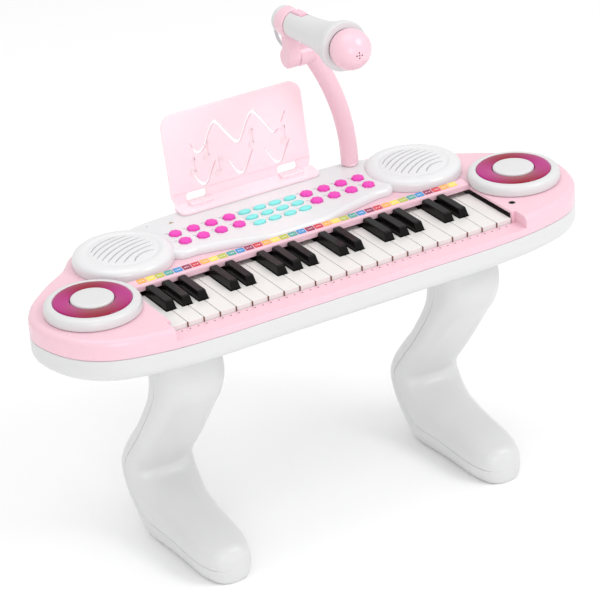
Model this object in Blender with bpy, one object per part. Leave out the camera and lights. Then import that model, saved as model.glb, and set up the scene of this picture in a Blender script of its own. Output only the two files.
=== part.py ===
"""A child's electronic keyboard with 37 sprung keys, two drum pads, three button mats, a music
stand, a swivelling microphone on an arm, and two Z-shaped legs.

Metres, +Z up, +X along the keyboard to the player's right, -Y towards the player.
Heights and depths are first given from the white keys: height 0 is the top of a white key and
depth 0 is its front edge. KEY_TOP and KEY_FRONT place them in the world, whose origin is on the
floor under the middle of the object.
"""

import math

import bmesh
import bpy
import numpy as np
from mathutils import Matrix, Vector

# Driving dimensions
GAP = 0.0003  # clearance between pieces that touch
KEY_TOP = 0.2630  # height of the white key tops above the floor
KEY_FRONT = -0.0886  # world Y of the white keys' front edge
WHITE_KEYS = 22
KEY_PITCH = 0.0165
SKIN = 0.0025  # wall of the moulded shells

# White and black keys
KEY_SLOT = 0.0006  # gap between two white keys
KEY_DEPTH = 0.0895  # front edge to the rear of the arm
KEY_SHOWN = 0.0705  # the length in front of the fallboard
KEY_BODY = 0.0090  # thickness of a white key
KEY_ARM_DROP = 0.0015  # the hidden arm is this much lower than the key top
KEY_HINGE_Y = 0.0860
KEY_HINGE_Z = -0.0055
BLACK_FRONT = 0.0295
BLACK_HEIGHT = 0.0082
BLACK_TOP_WIDTH = 0.0080
BLACK_BASE_WIDTH = 0.0098
BLACK_SLOPE = 0.0034  # how far the top edge stands back from the foot of the front face
BLACK_CLEARANCE = 0.0008
FIRST_NOTE = 3  # the lowest key is an F, counted from C = 0
SCALE_HAS_SHARP = (True, True, False, True, True, True, False)  # C D E F G A B

# Case
SEAM = -0.0123
CASE_TOP = 0.0065
CASE_BOTTOM = -0.0360
TOP_FILLET = 0.0060
BOTTOM_FILLET = 0.0110
LEDGE = -0.0048  # the strip in front of the keys
LEDGE_HALF = 0.1860
BAY_HALF = WHITE_KEYS * KEY_PITCH / 2 + 0.0006
LIP_FRONT = 0.0712
LIP_TOP = 0.0098
LIP_WIDTH = 0.0040
RAIL_HALF = 0.0030  # half depth of the rail under the keys' rear ends
RAIL_DROP = 0.0018  # space between the keys and that rail
BOARD_BOTTOM = -0.0140
HATCH = ((-0.0475, 0.0995), (0.0475, 0.1605))  # the battery opening's corners
HATCH_CORNER = 0.0040
SOCKET_RADIUS = 0.0150  # wiring hole under each drum pad

# Drum pads at the ends
DRUM_X = 0.2268
DRUM_Y = 0.0610
HOUSING_RADIUS = 0.0446
HOUSING_TOP = 0.0172
LENS_RADIUS = 0.0358
LENS_BORE = 0.0206
LENS_TOP = 0.0180
LENS_FLOOR = 0.0100
PAD_RADIUS = 0.0198
PAD_TOP = 0.0200

# Control panel with its speaker domes and button mats
PANEL_TOP = 0.0140
PANEL_ROOF = 0.0024
PANEL_REAR = 0.1850
DOME_X = 0.1585
DOME_Y = 0.1335
DOME_RADIUS = 0.0474
DOME_TOP = 0.0190
GRILLE_RADIUS = 0.0344
SLOTS = 8
SLOT_PITCH = 0.0072
SLOT_HALF = 0.0008
SLOT_TURN = math.radians(28)
ABOVE_PANEL = 0.0300  # cutters reach up to here
FLOWER_PITCH = 0.0192
FLOWER_X = 0.0424
FLOWER_RADIUS = 0.0056
FLOWER_ROWS = (0.1206, 0.1400)
TEAL_PITCH = 0.0166
TEAL_ROWS = (0.1125, 0.1270, 0.1415)
TEAL_HALF = (0.0056, 0.0028)
BUTTON_TOP = 0.0166
MAT_FLOOR = 0.0079
MAT_THICK = 0.0014
HOLE_CLEARANCE = 0.0005

# Music stand
STAND_FOOT = 0.1865
STAND_LEAN = math.radians(8.0)
STAND_HEIGHT = 0.0910
STAND_HALF = 0.0760
STAND_THICK = 0.0030
TRAY_FRONT = 0.1690
TRAY_THICK = 0.0045
TAB_X = 0.0520
TAB_HALF = 0.0090
TAB_Y = 0.1740
TAB_THICK = 0.0040
TAB_BOTTOM = 0.0095

# Microphone arm and microphone
ARM_X = 0.1120
ARM_Y = 0.1740
ARM_TOP = 0.1440
ARM_STRAIGHT = 0.0200  # the arm is upright to this height, and then bends over
ARM_LEAN = 2.52  # metres of lean for each square metre of height above that
ARM_STEPS = 12
ARM_PIN = 0.0050  # radius of the pin that turns in the panel
ARM_FLANGE = 0.0100
ARM_WIDTH = 0.0182
ARM_DEPTH = 0.0140
MIC_X = 0.0568
MIC_Y = 0.1735
MIC_Z = 0.1755
MIC_TILT = math.radians(3.0)
HUB_DROP = 0.0355  # the tilt hinge is this far under the microphone's axis
HANDLE_RADIUS = 0.0135
HANDLE_TAIL = 0.0160
HANDLE_FRONT = 0.0880
BALL_AT = 0.1075
BALL_RADIUS = 0.0192
NECK_RADIUS = 0.0116
CLIP_RADIUS = 0.0148
CLIP_WIDTH = 0.0140

# The microphone's cord: points measured from MIC_X, ARM_Y and ARM_TOP
CORD_RADIUS = 0.0016
CORD_STEPS = 4  # points on the cord for each point of its route
CORD_ROUTE = (
    (0.0005, 0.0270, 0.0280),
    (0.0010, 0.0320, 0.0170),
    (0.0040, 0.0320, 0.0030),
    (0.0110, 0.0270, -0.0080),
    (0.0190, 0.0180, -0.0150),
    (0.0260, 0.0076, -0.0175),
)

# Legs
LEG_X = 0.1510
LEG_PLUG = (0.0200, 0.0190)  # half width and half depth of the plug that enters the case
LEG_HEAD_Y = 0.0440
LEG_CORNER = 0.80  # exponent of the section's superellipse: 1 is an ellipse, lower is squarer
LEG_POINTS = 20  # points round the section


def material(name, colour, roughness=0.35, metallic=0.0):
    made = bpy.data.materials.new(name)
    made.use_nodes = True
    shader = made.node_tree.nodes["Principled BSDF"]
    shader.inputs["Base Color"].default_value = (*colour, 1.0)
    shader.inputs["Roughness"].default_value = roughness
    shader.inputs["Metallic"].default_value = metallic
    return made


def world(x, y, z):
    """A point given from the white keys, in world coordinates."""
    return Vector((x, y + KEY_FRONT, z + KEY_TOP))


def place(name, mesh, look, origin=(0.0, 0.0, 0.0)):
    """A node from a mesh made in key coordinates, with its origin at the given point of them."""
    mesh.transform(Matrix.Translation(-Vector(origin)))
    mesh.materials.clear()
    mesh.materials.append(look)
    mesh.shade_smooth()
    mesh.set_sharp_from_angle(angle=math.radians(35))
    made = bpy.data.objects.new(name, mesh)
    made.location = world(*origin)
    bpy.context.scene.collection.objects.link(made)
    return made


def mesh_from(points, faces):
    mesh = bpy.data.meshes.new("shape")
    mesh.from_pydata([tuple(p) for p in points], [], faces)
    shape = bmesh.new()
    shape.from_mesh(mesh)
    bmesh.ops.recalc_face_normals(shape, faces=shape.faces)
    shape.to_mesh(mesh)
    shape.free()
    return mesh


def loft(rings):
    """A closed solid through rings of equal length, with flat ends."""
    count = len(rings[0])
    points = [p for ring in rings for p in ring]
    faces = [tuple(range(count))[::-1], tuple(range((len(rings) - 1) * count, len(points)))]
    for level in range(len(rings) - 1):
        low, high = level * count, (level + 1) * count
        for i in range(count):
            j = (i + 1) % count
            faces.append((low + i, low + j, high + j, high + i))
    return mesh_from(points, faces)


def prism(outline, low, high):
    return loft([[(x, y, z) for x, y in outline] for z in (low, high)])


def box(low, high):
    corners = [(low[0], low[1]), (high[0], low[1]), (high[0], high[1]), (low[0], high[1])]
    return prism(corners, low[2], high[2])


def circle(x, y, radius, count=32):
    turn = [2 * math.pi * i / count for i in range(count)]
    return [(x + radius * math.cos(a), y + radius * math.sin(a)) for a in turn]


def turned(x, y, profile, count=32):
    """A solid of rings about a vertical axis: profile holds (radius, height) from low to high."""
    return loft([[(px, py, z) for px, py in circle(x, y, r, count)] for r, z in profile])


def rounded_box(low, high, radius, steps=4):
    """An outline of a rectangle with round corners."""
    middle = [(high[0] - radius, high[1] - radius), (low[0] + radius, high[1] - radius)]
    middle += [(low[0] + radius, low[1] + radius), (high[0] - radius, low[1] + radius)]
    outline = []
    for corner, (x, y) in enumerate(middle):
        for step in range(steps + 1):
            angle = math.pi / 2 * (corner + step / steps)
            outline.append((x + radius * math.cos(angle), y + radius * math.sin(angle)))
    return outline


def combine(target, operation, *meshes, origin=(0.0, 0.0, 0.0)):
    """Adds or cuts the meshes with Boolean modifiers and hidden helpers."""
    for mesh in meshes:
        helper = place(f"{target.name}_{operation.lower()}", mesh, target.data.materials[0], origin)
        helper.hide_render = True
        helper.display_type = "WIRE"
        step = target.modifiers.new(operation.title(), "BOOLEAN")
        step.operation = operation
        step.solver = "EXACT"
        step.object = helper
    return target


def catmull_rom(a, b, c, d, t):
    """A point between b and c, at t from 0 to 1, on the smooth curve through a, b, c and d."""
    square = (2 * a - 5 * b + 4 * c - d) * t**2
    cube = (3 * b - a - 3 * c + d) * t**3
    return 0.5 * (2 * b + (c - a) * t + square + cube)


def smooth_loop(points, steps):
    """A closed smooth curve through the points."""
    points = [np.array(p, float) for p in points]
    count = len(points)
    curve = []
    for i in range(count):
        around = [points[(i + k - 1) % count] for k in range(4)]
        curve += [catmull_rom(*around, step / steps) for step in range(steps)]
    return curve


def inset(curve, distance):
    """The curve moved inwards by a distance; the curve runs anticlockwise."""
    curve = np.array(curve)
    along = np.roll(curve, -1, 0) - np.roll(curve, 1, 0)
    normal = np.stack([-along[:, 1], along[:, 0]], 1)
    normal /= np.linalg.norm(normal, axis=1)[:, None]
    return [tuple(p) for p in curve + normal * distance]


def mirrored(half):
    """An anticlockwise loop from its right half, given from the front to the rear."""
    return half + [(-x, y) for x, y in reversed(half)]


def case_outline():
    half = [(0.075, -0.0220), (0.150, -0.0218), (0.205, -0.0160), (0.247, -0.0020)]
    half += [(0.2735, 0.0270), (0.2835, 0.0700), (0.2700, 0.1040), (0.2410, 0.1330)]
    half += [(0.2140, 0.1530), (0.1880, 0.1800), (0.1400, 0.1935), (0.0700, 0.1950)]
    return smooth_loop(mirrored(half), 3)


def shell(outline, levels):
    """A solid whose outline is inset by a distance at each height: levels are (inset, z)."""
    return loft([[(x, y, z) for x, y in inset(outline, d)] for d, z in levels])


def fillet(radius, z_wall, z_face, base=0.0, steps=3):
    """Levels of a quarter-round from the wall to the face, for shell()."""
    levels = []
    for i in range(steps + 1):
        angle = math.pi / 2 * i / steps
        reach = radius * (1 - math.cos(angle))
        levels.append((base + reach, z_wall + (z_face - z_wall) * math.sin(angle)))
    return levels


def upper_case(looks):
    outline = case_outline()
    outer = [(0.0, SEAM)] + fillet(TOP_FILLET, CASE_TOP - TOP_FILLET, CASE_TOP)
    case = place("upper_case", shell(outline, outer), looks["pink"])
    lip = box((-BAY_HALF, LIP_FRONT, CASE_TOP - 0.0010), (BAY_HALF, LIP_FRONT + LIP_WIDTH, LIP_TOP))
    combine(case, "UNION", lip)
    inner = [(x, max(y, 0.0020)) for x, y in inset(outline, SKIN)]  # the front edge stays solid
    rear_cavity = prism(inner, SEAM - 0.010, CASE_TOP - SKIN)
    above = LIP_TOP + 0.010
    front_cavity = box((-BAY_HALF, -0.0190, SEAM - 0.010), (BAY_HALF, 0.0030, LEDGE - SKIN))
    ledge = box((-LEDGE_HALF, -0.0400, LEDGE), (LEDGE_HALF, -KEY_SLOT, above))
    bay = box((-BAY_HALF, -KEY_SLOT, SEAM - 0.010), (BAY_HALF, LIP_FRONT, above))
    combine(case, "DIFFERENCE", rear_cavity, front_cavity, ledge, bay)
    for side in (-1, 1):
        socket = [(SOCKET_RADIUS, 0.0), (SOCKET_RADIUS, above)]
        combine(case, "DIFFERENCE", turned(side * DRUM_X, DRUM_Y, socket, 24))
    return case


def lower_case(looks):
    outline = case_outline()
    outer = [(d, CASE_BOTTOM + BOTTOM_FILLET - z) for d, z in fillet(BOTTOM_FILLET, 0.0, BOTTOM_FILLET)]
    outer = outer[::-1] + [(0.0, SEAM - GAP)]
    case = place("lower_case", shell(outline, outer), looks["white"])
    inner = [(BOTTOM_FILLET, CASE_BOTTOM + SKIN), (SKIN + 0.002, CASE_BOTTOM + 0.010)]
    inner += [(SKIN, CASE_BOTTOM + 0.014), (SKIN, 0.0)]
    combine(case, "DIFFERENCE", shell(outline, inner))
    inside = CASE_BOTTOM + 0.0010
    rail_low = (-BAY_HALF, KEY_HINGE_Y - RAIL_HALF, inside)
    rail_high = (BAY_HALF, KEY_HINGE_Y + RAIL_HALF, -KEY_BODY - RAIL_DROP)
    posts = [
        turned(x, y, [(0.0035, inside), (0.0030, BOARD_BOTTOM - GAP)], 12)
        for x in (-0.070, 0.070)
        for y in (0.105, 0.150)
    ]
    combine(case, "UNION", box(rail_low, rail_high), *posts)
    below, above = CASE_BOTTOM - 0.010, CASE_BOTTOM + 0.006
    half_x, half_y = LEG_PLUG[0] + HOLE_CLEARANCE, LEG_PLUG[1] + HOLE_CLEARANCE
    for side in (-1, 1):
        low = (side * LEG_X - half_x, LEG_HEAD_Y - half_y)
        high = (side * LEG_X + half_x, LEG_HEAD_Y + half_y)
        combine(case, "DIFFERENCE", prism(rounded_box(low, high, 0.0080), below, above))
    combine(case, "DIFFERENCE", prism(rounded_box(*HATCH, HATCH_CORNER), below, above))
    return case


def battery_cover(looks):
    (x0, y0), (x1, y1) = HATCH
    outline = rounded_box((x0 + GAP, y0 + GAP), (x1 - GAP, y1 - GAP), HATCH_CORNER)
    cover = place("battery_cover", prism(outline, CASE_BOTTOM, CASE_BOTTOM + 0.0022), looks["white"])
    grip = box((-0.0120, y0 + 0.0045, CASE_BOTTOM - 0.0010), (0.0120, y0 + 0.0080, CASE_BOTTOM + 0.0010))
    return combine(cover, "DIFFERENCE", grip)


def main_board(looks):
    outline = rounded_box((-0.0850, 0.0960), (0.0850, 0.1590), 0.0030)
    return place("main_board", prism(outline, BOARD_BOTTOM, BOARD_BOTTOM + 0.0016), looks["board"])


def drum(side, looks):
    """One drum pad: a white housing, a coloured lens ring in it, and a cap that presses down."""
    hand = "left" if side < 0 else "right"
    x = side * DRUM_X
    profile = [(HOUSING_RADIUS, CASE_TOP + GAP), (HOUSING_RADIUS, 0.0110), (0.0437, 0.0142)]
    profile += [(0.0416, 0.0163), (0.0385, HOUSING_TOP)]
    housing = place(f"{hand}_drum_housing", turned(x, DRUM_Y, profile), looks["white"])
    well = turned(x, DRUM_Y, [(LENS_RADIUS + GAP, LENS_FLOOR - GAP), (LENS_RADIUS + GAP, 0.03)])
    bore = turned(x, DRUM_Y, [(PAD_RADIUS - 0.0030, 0.0), (PAD_RADIUS - 0.0030, 0.03)])
    combine(housing, "DIFFERENCE", well, bore)
    profile = [(LENS_RADIUS, LENS_FLOOR), (LENS_RADIUS, 0.0166), (0.0350, LENS_TOP)]
    ring = place(f"{hand}_lamp_ring", turned(x, DRUM_Y, profile), looks["lens"])
    combine(ring, "DIFFERENCE", turned(x, DRUM_Y, [(LENS_BORE, 0.0), (LENS_BORE, 0.03)]))
    profile = [(PAD_RADIUS, LENS_FLOOR + 0.0020), (PAD_RADIUS, 0.0186), (0.0186, PAD_TOP)]
    pad = place(f"{hand}_drum_pad", turned(x, DRUM_Y, profile), looks["white"], (x, DRUM_Y, PAD_TOP))
    return housing, ring, pad


def panel_outline():
    half = [(0.030, 0.0835), (0.062, 0.0930), (0.095, 0.1010), (0.1180, 0.1060)]
    half += [(0.1400, 0.1500), (0.1300, 0.1780), (0.090, PANEL_REAR), (0.045, PANEL_REAR)]
    return smooth_loop(mirrored(half), 3)


def flower_outline(x, y, radius, grow=0.0):
    """A scalloped button: six round petals."""
    outline = []
    for i in range(12):
        angle = 2 * math.pi * i / 12
        reach = radius * (1.0 + 0.08 * math.cos(6 * angle)) + grow
        outline.append((x + reach * math.cos(angle), y + reach * math.sin(angle)))
    return outline


def oval_outline(x, y, half, grow=0.0, count=12):
    turn = [2 * math.pi * i / count for i in range(count)]
    reach = [h + grow for h in half]
    return [(x + reach[0] * math.cos(a), y + reach[1] * math.sin(a)) for a in turn]


def flower_places(side):
    return [(side * (FLOWER_X + i * FLOWER_PITCH), y) for y in FLOWER_ROWS for i in range(4)]


def teal_places():
    return [((i - 1.5) * TEAL_PITCH, y) for y in TEAL_ROWS for i in range(4)]


def mat_limits(side):
    """Low and high corner of a button mat: side -1 and 1 hold the flowers, 0 the ovals."""
    if side == 0:
        return (-0.0320, 0.1060), (0.0320, 0.1480)
    inner, outer = 0.0335, 0.1110
    low_x, high_x = sorted((side * inner, side * outer))
    return (low_x, 0.1120), (high_x, 0.1490)


def control_panel(looks):
    outline = panel_outline()
    low = CASE_TOP + GAP
    levels = [(0.0, low)] + fillet(0.0045, low + 0.0015, PANEL_TOP)
    panel = place("control_panel", shell(outline, levels), looks["white"])
    for side in (-1, 1):
        profile = [(DOME_RADIUS, low), (DOME_RADIUS, 0.0120), (0.0462, 0.0150), (0.0438, 0.0172)]
        profile += [(0.0400, 0.0182), (GRILLE_RADIUS, 0.0184), (GRILLE_RADIUS - 0.002, 0.0174)]
        profile += [(0.0200, DOME_TOP - 0.0006), (0.0060, DOME_TOP)]
        combine(panel, "UNION", turned(side * DOME_X, DOME_Y, profile, 32))
        hollow = [(DOME_RADIUS - SKIN, low - 0.001), (DOME_RADIUS - SKIN, 0.0110), (0.0300, 0.0152)]
        combine(panel, "DIFFERENCE", turned(side * DOME_X, DOME_Y, hollow, 32))
    for side in (-1, 0, 1):
        (x0, y0), (x1, y1) = mat_limits(side)
        pocket_high = (x1 + GAP, y1 + GAP, PANEL_TOP - PANEL_ROOF)
        combine(panel, "DIFFERENCE", box((x0 - GAP, y0 - GAP, low - 0.001), pocket_high))
    for x, y in flower_places(-1) + flower_places(1):
        hole = flower_outline(x, y, FLOWER_RADIUS, HOLE_CLEARANCE)
        combine(panel, "DIFFERENCE", prism(hole, MAT_FLOOR, ABOVE_PANEL))
    for x, y in teal_places():
        hole = oval_outline(x, y, TEAL_HALF, HOLE_CLEARANCE)
        combine(panel, "DIFFERENCE", prism(hole, MAT_FLOOR, ABOVE_PANEL))
    for side in (-1, 1):
        for slot in grille_slots(side):
            combine(panel, "DIFFERENCE", prism(slot, 0.0120, ABOVE_PANEL))
    bore = ARM_PIN + GAP
    combine(panel, "DIFFERENCE", turned(ARM_X, ARM_Y, [(bore, low - 0.001), (bore, ABOVE_PANEL)], 24))
    for side in (-1, 1):
        combine(panel, "DIFFERENCE", stand_tab(side, TAB_BOTTOM - 0.0005, ABOVE_PANEL, GAP))
    return panel


def grille_slots(side):
    """Outlines of a dome's parallel slots, which run slantwise."""
    cosine, sine = math.cos(SLOT_TURN), math.sin(SLOT_TURN)
    slots = []
    for i in range(SLOTS):
        across = (i - (SLOTS - 1) / 2) * SLOT_PITCH
        reach = math.sqrt((GRILLE_RADIUS - 0.005) ** 2 - across**2)
        low, high = across - SLOT_HALF, across + SLOT_HALF
        corners = [(-reach, low), (reach, low), (reach, high), (-reach, high)]
        slots.append([
            (side * DOME_X + x * cosine - y * sine, DOME_Y + x * sine + y * cosine) for x, y in corners
        ])
    return slots


def stand_tab(side, low, high, grow=0.0):
    """One of the music stand's two tabs, or with grow the slot for it."""
    x = side * TAB_X
    low_corner = (x - TAB_HALF - grow, TAB_Y - grow, low)
    return box(low_corner, (x + TAB_HALF + grow, TAB_Y + TAB_THICK + grow, high))


def keypad(side, looks):
    """A moulded mat with its buttons standing up through the panel's holes."""
    name = {-1: "left_flower_keypad", 0: "teal_keypad", 1: "right_flower_keypad"}[side]
    (x0, y0), (x1, y1) = mat_limits(side)
    look = looks["teal"] if side == 0 else looks["magenta"]
    mat = place(name, box((x0, y0, MAT_FLOOR), (x1, y1, MAT_FLOOR + MAT_THICK)), look)
    low = MAT_FLOOR + MAT_THICK / 2
    for x, y in teal_places() if side == 0 else flower_places(side):
        levels = []
        for grow, z in ((0.0, low), (0.0, BUTTON_TOP - 0.0010), (-0.0010, BUTTON_TOP)):
            if side == 0:
                outline = oval_outline(x, y, TEAL_HALF, grow)
            else:
                outline = flower_outline(x, y, FLOWER_RADIUS, grow)
            levels.append([(px, py, z) for px, py in outline])
        combine(mat, "UNION", loft(levels))
    return mat


def sharp_after(white):
    """Whether a black key stands between this white key and the next."""
    return SCALE_HAS_SHARP[(white + FIRST_NOTE) % 7] and white < WHITE_KEYS - 1


def key_edge(white):
    """X of the left edge of a white key's slot."""
    return (white - WHITE_KEYS / 2) * KEY_PITCH


def white_key(white, looks):
    left, right = key_edge(white) + KEY_SLOT / 2, key_edge(white + 1) - KEY_SLOT / 2
    cut = BLACK_BASE_WIDTH / 2 + BLACK_CLEARANCE
    neck_left = key_edge(white) + cut if white > 0 and sharp_after(white - 1) else left
    neck_right = key_edge(white + 1) - cut if sharp_after(white) else right
    front = BLACK_FRONT - BLACK_CLEARANCE
    outline = [(left, 0.0), (right, 0.0), (right, front), (neck_right, front)]
    outline += [(neck_right, KEY_DEPTH), (neck_left, KEY_DEPTH), (neck_left, front), (left, front)]
    outline = [p for i, p in enumerate(outline) if p != outline[i - 1]]
    origin = (key_edge(white) + KEY_PITCH / 2, KEY_HINGE_Y, KEY_HINGE_Z)
    key = place(f"white_key_{white + 1:02d}", prism(outline, -KEY_BODY, 0.0), looks["ivory"], origin)
    step = box((left - 0.01, KEY_SHOWN + 0.0002, -KEY_ARM_DROP), (right + 0.01, KEY_DEPTH + 0.01, 0.01))
    return combine(key, "DIFFERENCE", step)


def black_key(white, looks):
    """The black key after a white key: a bevelled block on a narrower arm."""
    x = key_edge(white + 1)
    rear = KEY_SHOWN
    foot, top = BLACK_BASE_WIDTH / 2, BLACK_TOP_WIDTH / 2
    low_z = -KEY_BODY
    sections = [(foot, BLACK_FRONT, low_z), (foot, BLACK_FRONT, 0.0015)]
    sections += [(top, BLACK_FRONT + BLACK_SLOPE, BLACK_HEIGHT)]
    rings = [[(x - w, y, z), (x + w, y, z), (x + w, rear, z), (x - w, rear, z)] for w, y, z in sections]
    origin = (x, KEY_HINGE_Y, KEY_HINGE_Z)
    key = place(f"black_key_{white + 1:02d}", loft(rings), looks["ebony"], origin)
    arm = box((x - foot + 0.0008, rear - 0.01, low_z), (x + foot - 0.0008, KEY_DEPTH, -KEY_ARM_DROP))
    return combine(key, "UNION", arm)


def leaning(points, low, high):
    """A plate with the stand's lean from an outline of (x, height up the plate)."""
    rings = []
    for depth in (low, high):
        ring = []
        for x, up in points:
            y = STAND_FOOT + up * math.sin(STAND_LEAN) + depth * math.cos(STAND_LEAN)
            z = PANEL_TOP + 0.0010 + up * math.cos(STAND_LEAN) - depth * math.sin(STAND_LEAN)
            ring.append((x, y, z))
        rings.append(ring)
    return loft(rings)


def music_stand(looks):
    """A leaning plate with a shallow tray, wave-shaped slots and two tabs that plug into the panel."""
    outline = rounded_box((-STAND_HALF, 0.0), (STAND_HALF, STAND_HEIGHT), 0.0130, 5)
    stand = place("music_stand", leaning(outline, 0.0, STAND_THICK), looks["pink"])
    low, high = PANEL_TOP + GAP, PANEL_TOP + TRAY_THICK
    tray = rounded_box((-STAND_HALF, TRAY_FRONT), (STAND_HALF, 0.1890), 0.0060)
    stop = rounded_box((-STAND_HALF, TRAY_FRONT), (STAND_HALF, TRAY_FRONT + 0.0022), 0.0010, 2)
    combine(stand, "UNION", prism(tray, low, high), prism(stop, low, high + 0.0030))
    combine(stand, "UNION", *[stand_tab(side, TAB_BOTTOM, high) for side in (-1, 1)])
    slots = []
    for row in range(2):
        for wave in range(3):
            x = (wave - 1) * 0.036 + (0.004 if row else -0.004)
            up = 0.034 + row * 0.032
            ends = [(x - 0.013, up + 0.012), (x, up - 0.012), (x + 0.013, up + 0.012)]
            slots.append(wave_slot(ends, 0.0021))
    for side in (-1, 1):
        low_corner, high_corner = (side * 0.050 - 0.0110, 0.0060), (side * 0.050 + 0.0110, 0.0160)
        slots.append(rounded_box(low_corner, high_corner, 0.0020, 2))
    through = 0.010
    return combine(stand, "DIFFERENCE", *[leaning(slot, -through, through) for slot in slots])


def wave_slot(points, half):
    """The outline of a bent slot of even width through three points."""
    a, b, c = (Vector(p) for p in points)
    first, second = (b - a).normalized(), (c - b).normalized()
    n1, n2 = Vector((-first.y, first.x)), Vector((-second.y, second.x))
    corner = (n1 + n2).normalized() * half / math.cos(n1.angle(n2) / 2)
    left = [a + n1 * half, b + corner, c + n2 * half]
    right = [c - n2 * half, b - corner, a - n1 * half]
    return [tuple(p) for p in left + right]


def ellipse(centre, across, up, half_across, half_up, count=20):
    points = []
    for i in range(count):
        angle = 2 * math.pi * i / count
        points.append(centre + across * half_across * math.cos(angle) + up * half_up * math.sin(angle))
    return points


def mic_arm(looks):
    """A flattened tube that leans towards the middle, with a pin, a small flange and a hub at its top."""
    low = PANEL_TOP + GAP
    rings = []
    foot = [(ARM_PIN, MAT_FLOOR), (ARM_PIN, low), (ARM_FLANGE, low + 0.0001), (ARM_FLANGE, low + 0.0015)]
    for radius, z in foot:
        rings.append(ellipse(Vector((ARM_X, ARM_Y, z)), Vector((1, 0, 0)), Vector((0, 1, 0)), radius, radius))
    start = low + 0.0030
    for step in range(ARM_STEPS + 1):
        z = start + (ARM_TOP - start) * step / ARM_STEPS
        rise = max(z - ARM_STRAIGHT, 0.0)
        along = Vector((-2 * ARM_LEAN * rise, 0.0, 1.0)).normalized()
        across = Vector((along.z, 0.0, -along.x))
        centre = Vector((ARM_X - ARM_LEAN * rise**2, ARM_Y, z))
        rings.append(ellipse(centre, across, Vector((0, 1, 0)), ARM_WIDTH / 2, ARM_DEPTH / 2))
    origin = (ARM_X, ARM_Y, low)
    arm = place("mic_arm", loft(rings), looks["pink"], origin)
    hub = ring_along_x(MIC_X + 0.0045, MIC_X + 0.0225, *hub_place(), 0.0105)
    return combine(arm, "UNION", hub, origin=origin)


def ring_along_x(x0, x1, y, z, radius, count=20):
    rings = [
        ellipse(Vector((x, y, z)), Vector((0, 1, 0)), Vector((0, 0, 1)), r, r, count)
        for x, r in ((x0, radius), (x1 - 0.002, radius), (x1, radius - 0.002))
    ]
    return loft(rings)


def hub_place():
    """Y and Z of the tilt hinge."""
    return MIC_Y + HUB_DROP * math.sin(MIC_TILT), MIC_Z - HUB_DROP * math.cos(MIC_TILT)


def mic_point(along, up=0.0):
    """A point in the microphone's own frame: along its axis to the front, and up from it."""
    y = MIC_Y - along * math.cos(MIC_TILT) + up * math.sin(MIC_TILT)
    z = MIC_Z + along * math.sin(MIC_TILT) + up * math.cos(MIC_TILT)
    return Vector((MIC_X, y, z))


def mic_rings(profile, count=20):
    """Rings about the microphone's axis: profile holds (position along it, radius)."""
    up = (mic_point(0.0, 1.0) - mic_point(0.0)).normalized()
    return [ellipse(mic_point(a), Vector((1, 0, 0)), up, r, r, count) for a, r in profile]


def mic_block(corners, x0, x1):
    """A block between two X positions from corners given as (along, up) in the microphone's frame."""
    outline = [mic_point(along, up) for along, up in corners]
    return loft([[p + Vector((x, 0, 0)) for p in outline] for x in (x0, x1)])


def ball_profile():
    """The round head from its rear to its nose, as (position, radius)."""
    turns = [math.radians(-52 + 13.6 * step) for step in range(11)]
    return [(BALL_AT + BALL_RADIUS * math.sin(a), BALL_RADIUS * math.cos(a)) for a in turns]


def mic_head(looks, origin):
    ball = ball_profile()
    stem = [(HANDLE_FRONT + 0.0010, 0.0085), (ball[0][0] - 0.0005, 0.0085)]
    return place("mic_head", loft(mic_rings(stem + ball)), looks["pink"], origin)


def mic_handle(looks, origin):
    """The white body: a tail, a neck for the clip, a long grip and a collar that cups the head."""
    tail = -HANDLE_TAIL
    neck = CLIP_WIDTH / 2 + 0.0008
    body = [(tail, 0.0100), (tail + 0.0012, 0.0130), (tail + 0.0060, 0.0138), (-neck, 0.0132)]
    body += [(-neck + 0.0004, NECK_RADIUS), (neck - 0.0004, NECK_RADIUS), (neck, 0.0130)]
    body += [(0.0200, HANDLE_RADIUS), (0.0420, 0.0142), (0.0620, 0.0160), (0.0780, 0.0192)]
    body += [(HANDLE_FRONT + 0.0020, 0.0225), (HANDLE_FRONT + 0.0080, 0.0236)]
    body += [(HANDLE_FRONT + 0.0100, 0.0230)]
    handle = place("mic_handle", loft(mic_rings(body)), looks["white"], origin)
    ball = ball_profile()
    cup = [(HANDLE_FRONT + 0.0010 - GAP, 0.0090), (ball[0][0] - 0.0010, 0.0090)]
    cup += [(a, r + 0.0006) for a, r in ball[:5]]
    cup += [(ball[4][0] + 0.0200, ball[4][1] + 0.0030)]
    combine(handle, "DIFFERENCE", loft(mic_rings(cup)), origin=origin)
    corners = [(0.0100, 0.0105), (0.0300, 0.0105), (0.0300, 0.0300), (0.0100, 0.0300)]
    slot = mic_block(corners, -0.0042, 0.0042)
    return combine(handle, "DIFFERENCE", slot, origin=origin)


def mic_switch(looks, origin):
    corners = [(0.0105, 0.0109), (0.0265, 0.0109), (0.0255, 0.0165), (0.0115, 0.0165)]
    return place("mic_switch", mic_block(corners, -0.0038, 0.0038), looks["pink"], origin)


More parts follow.
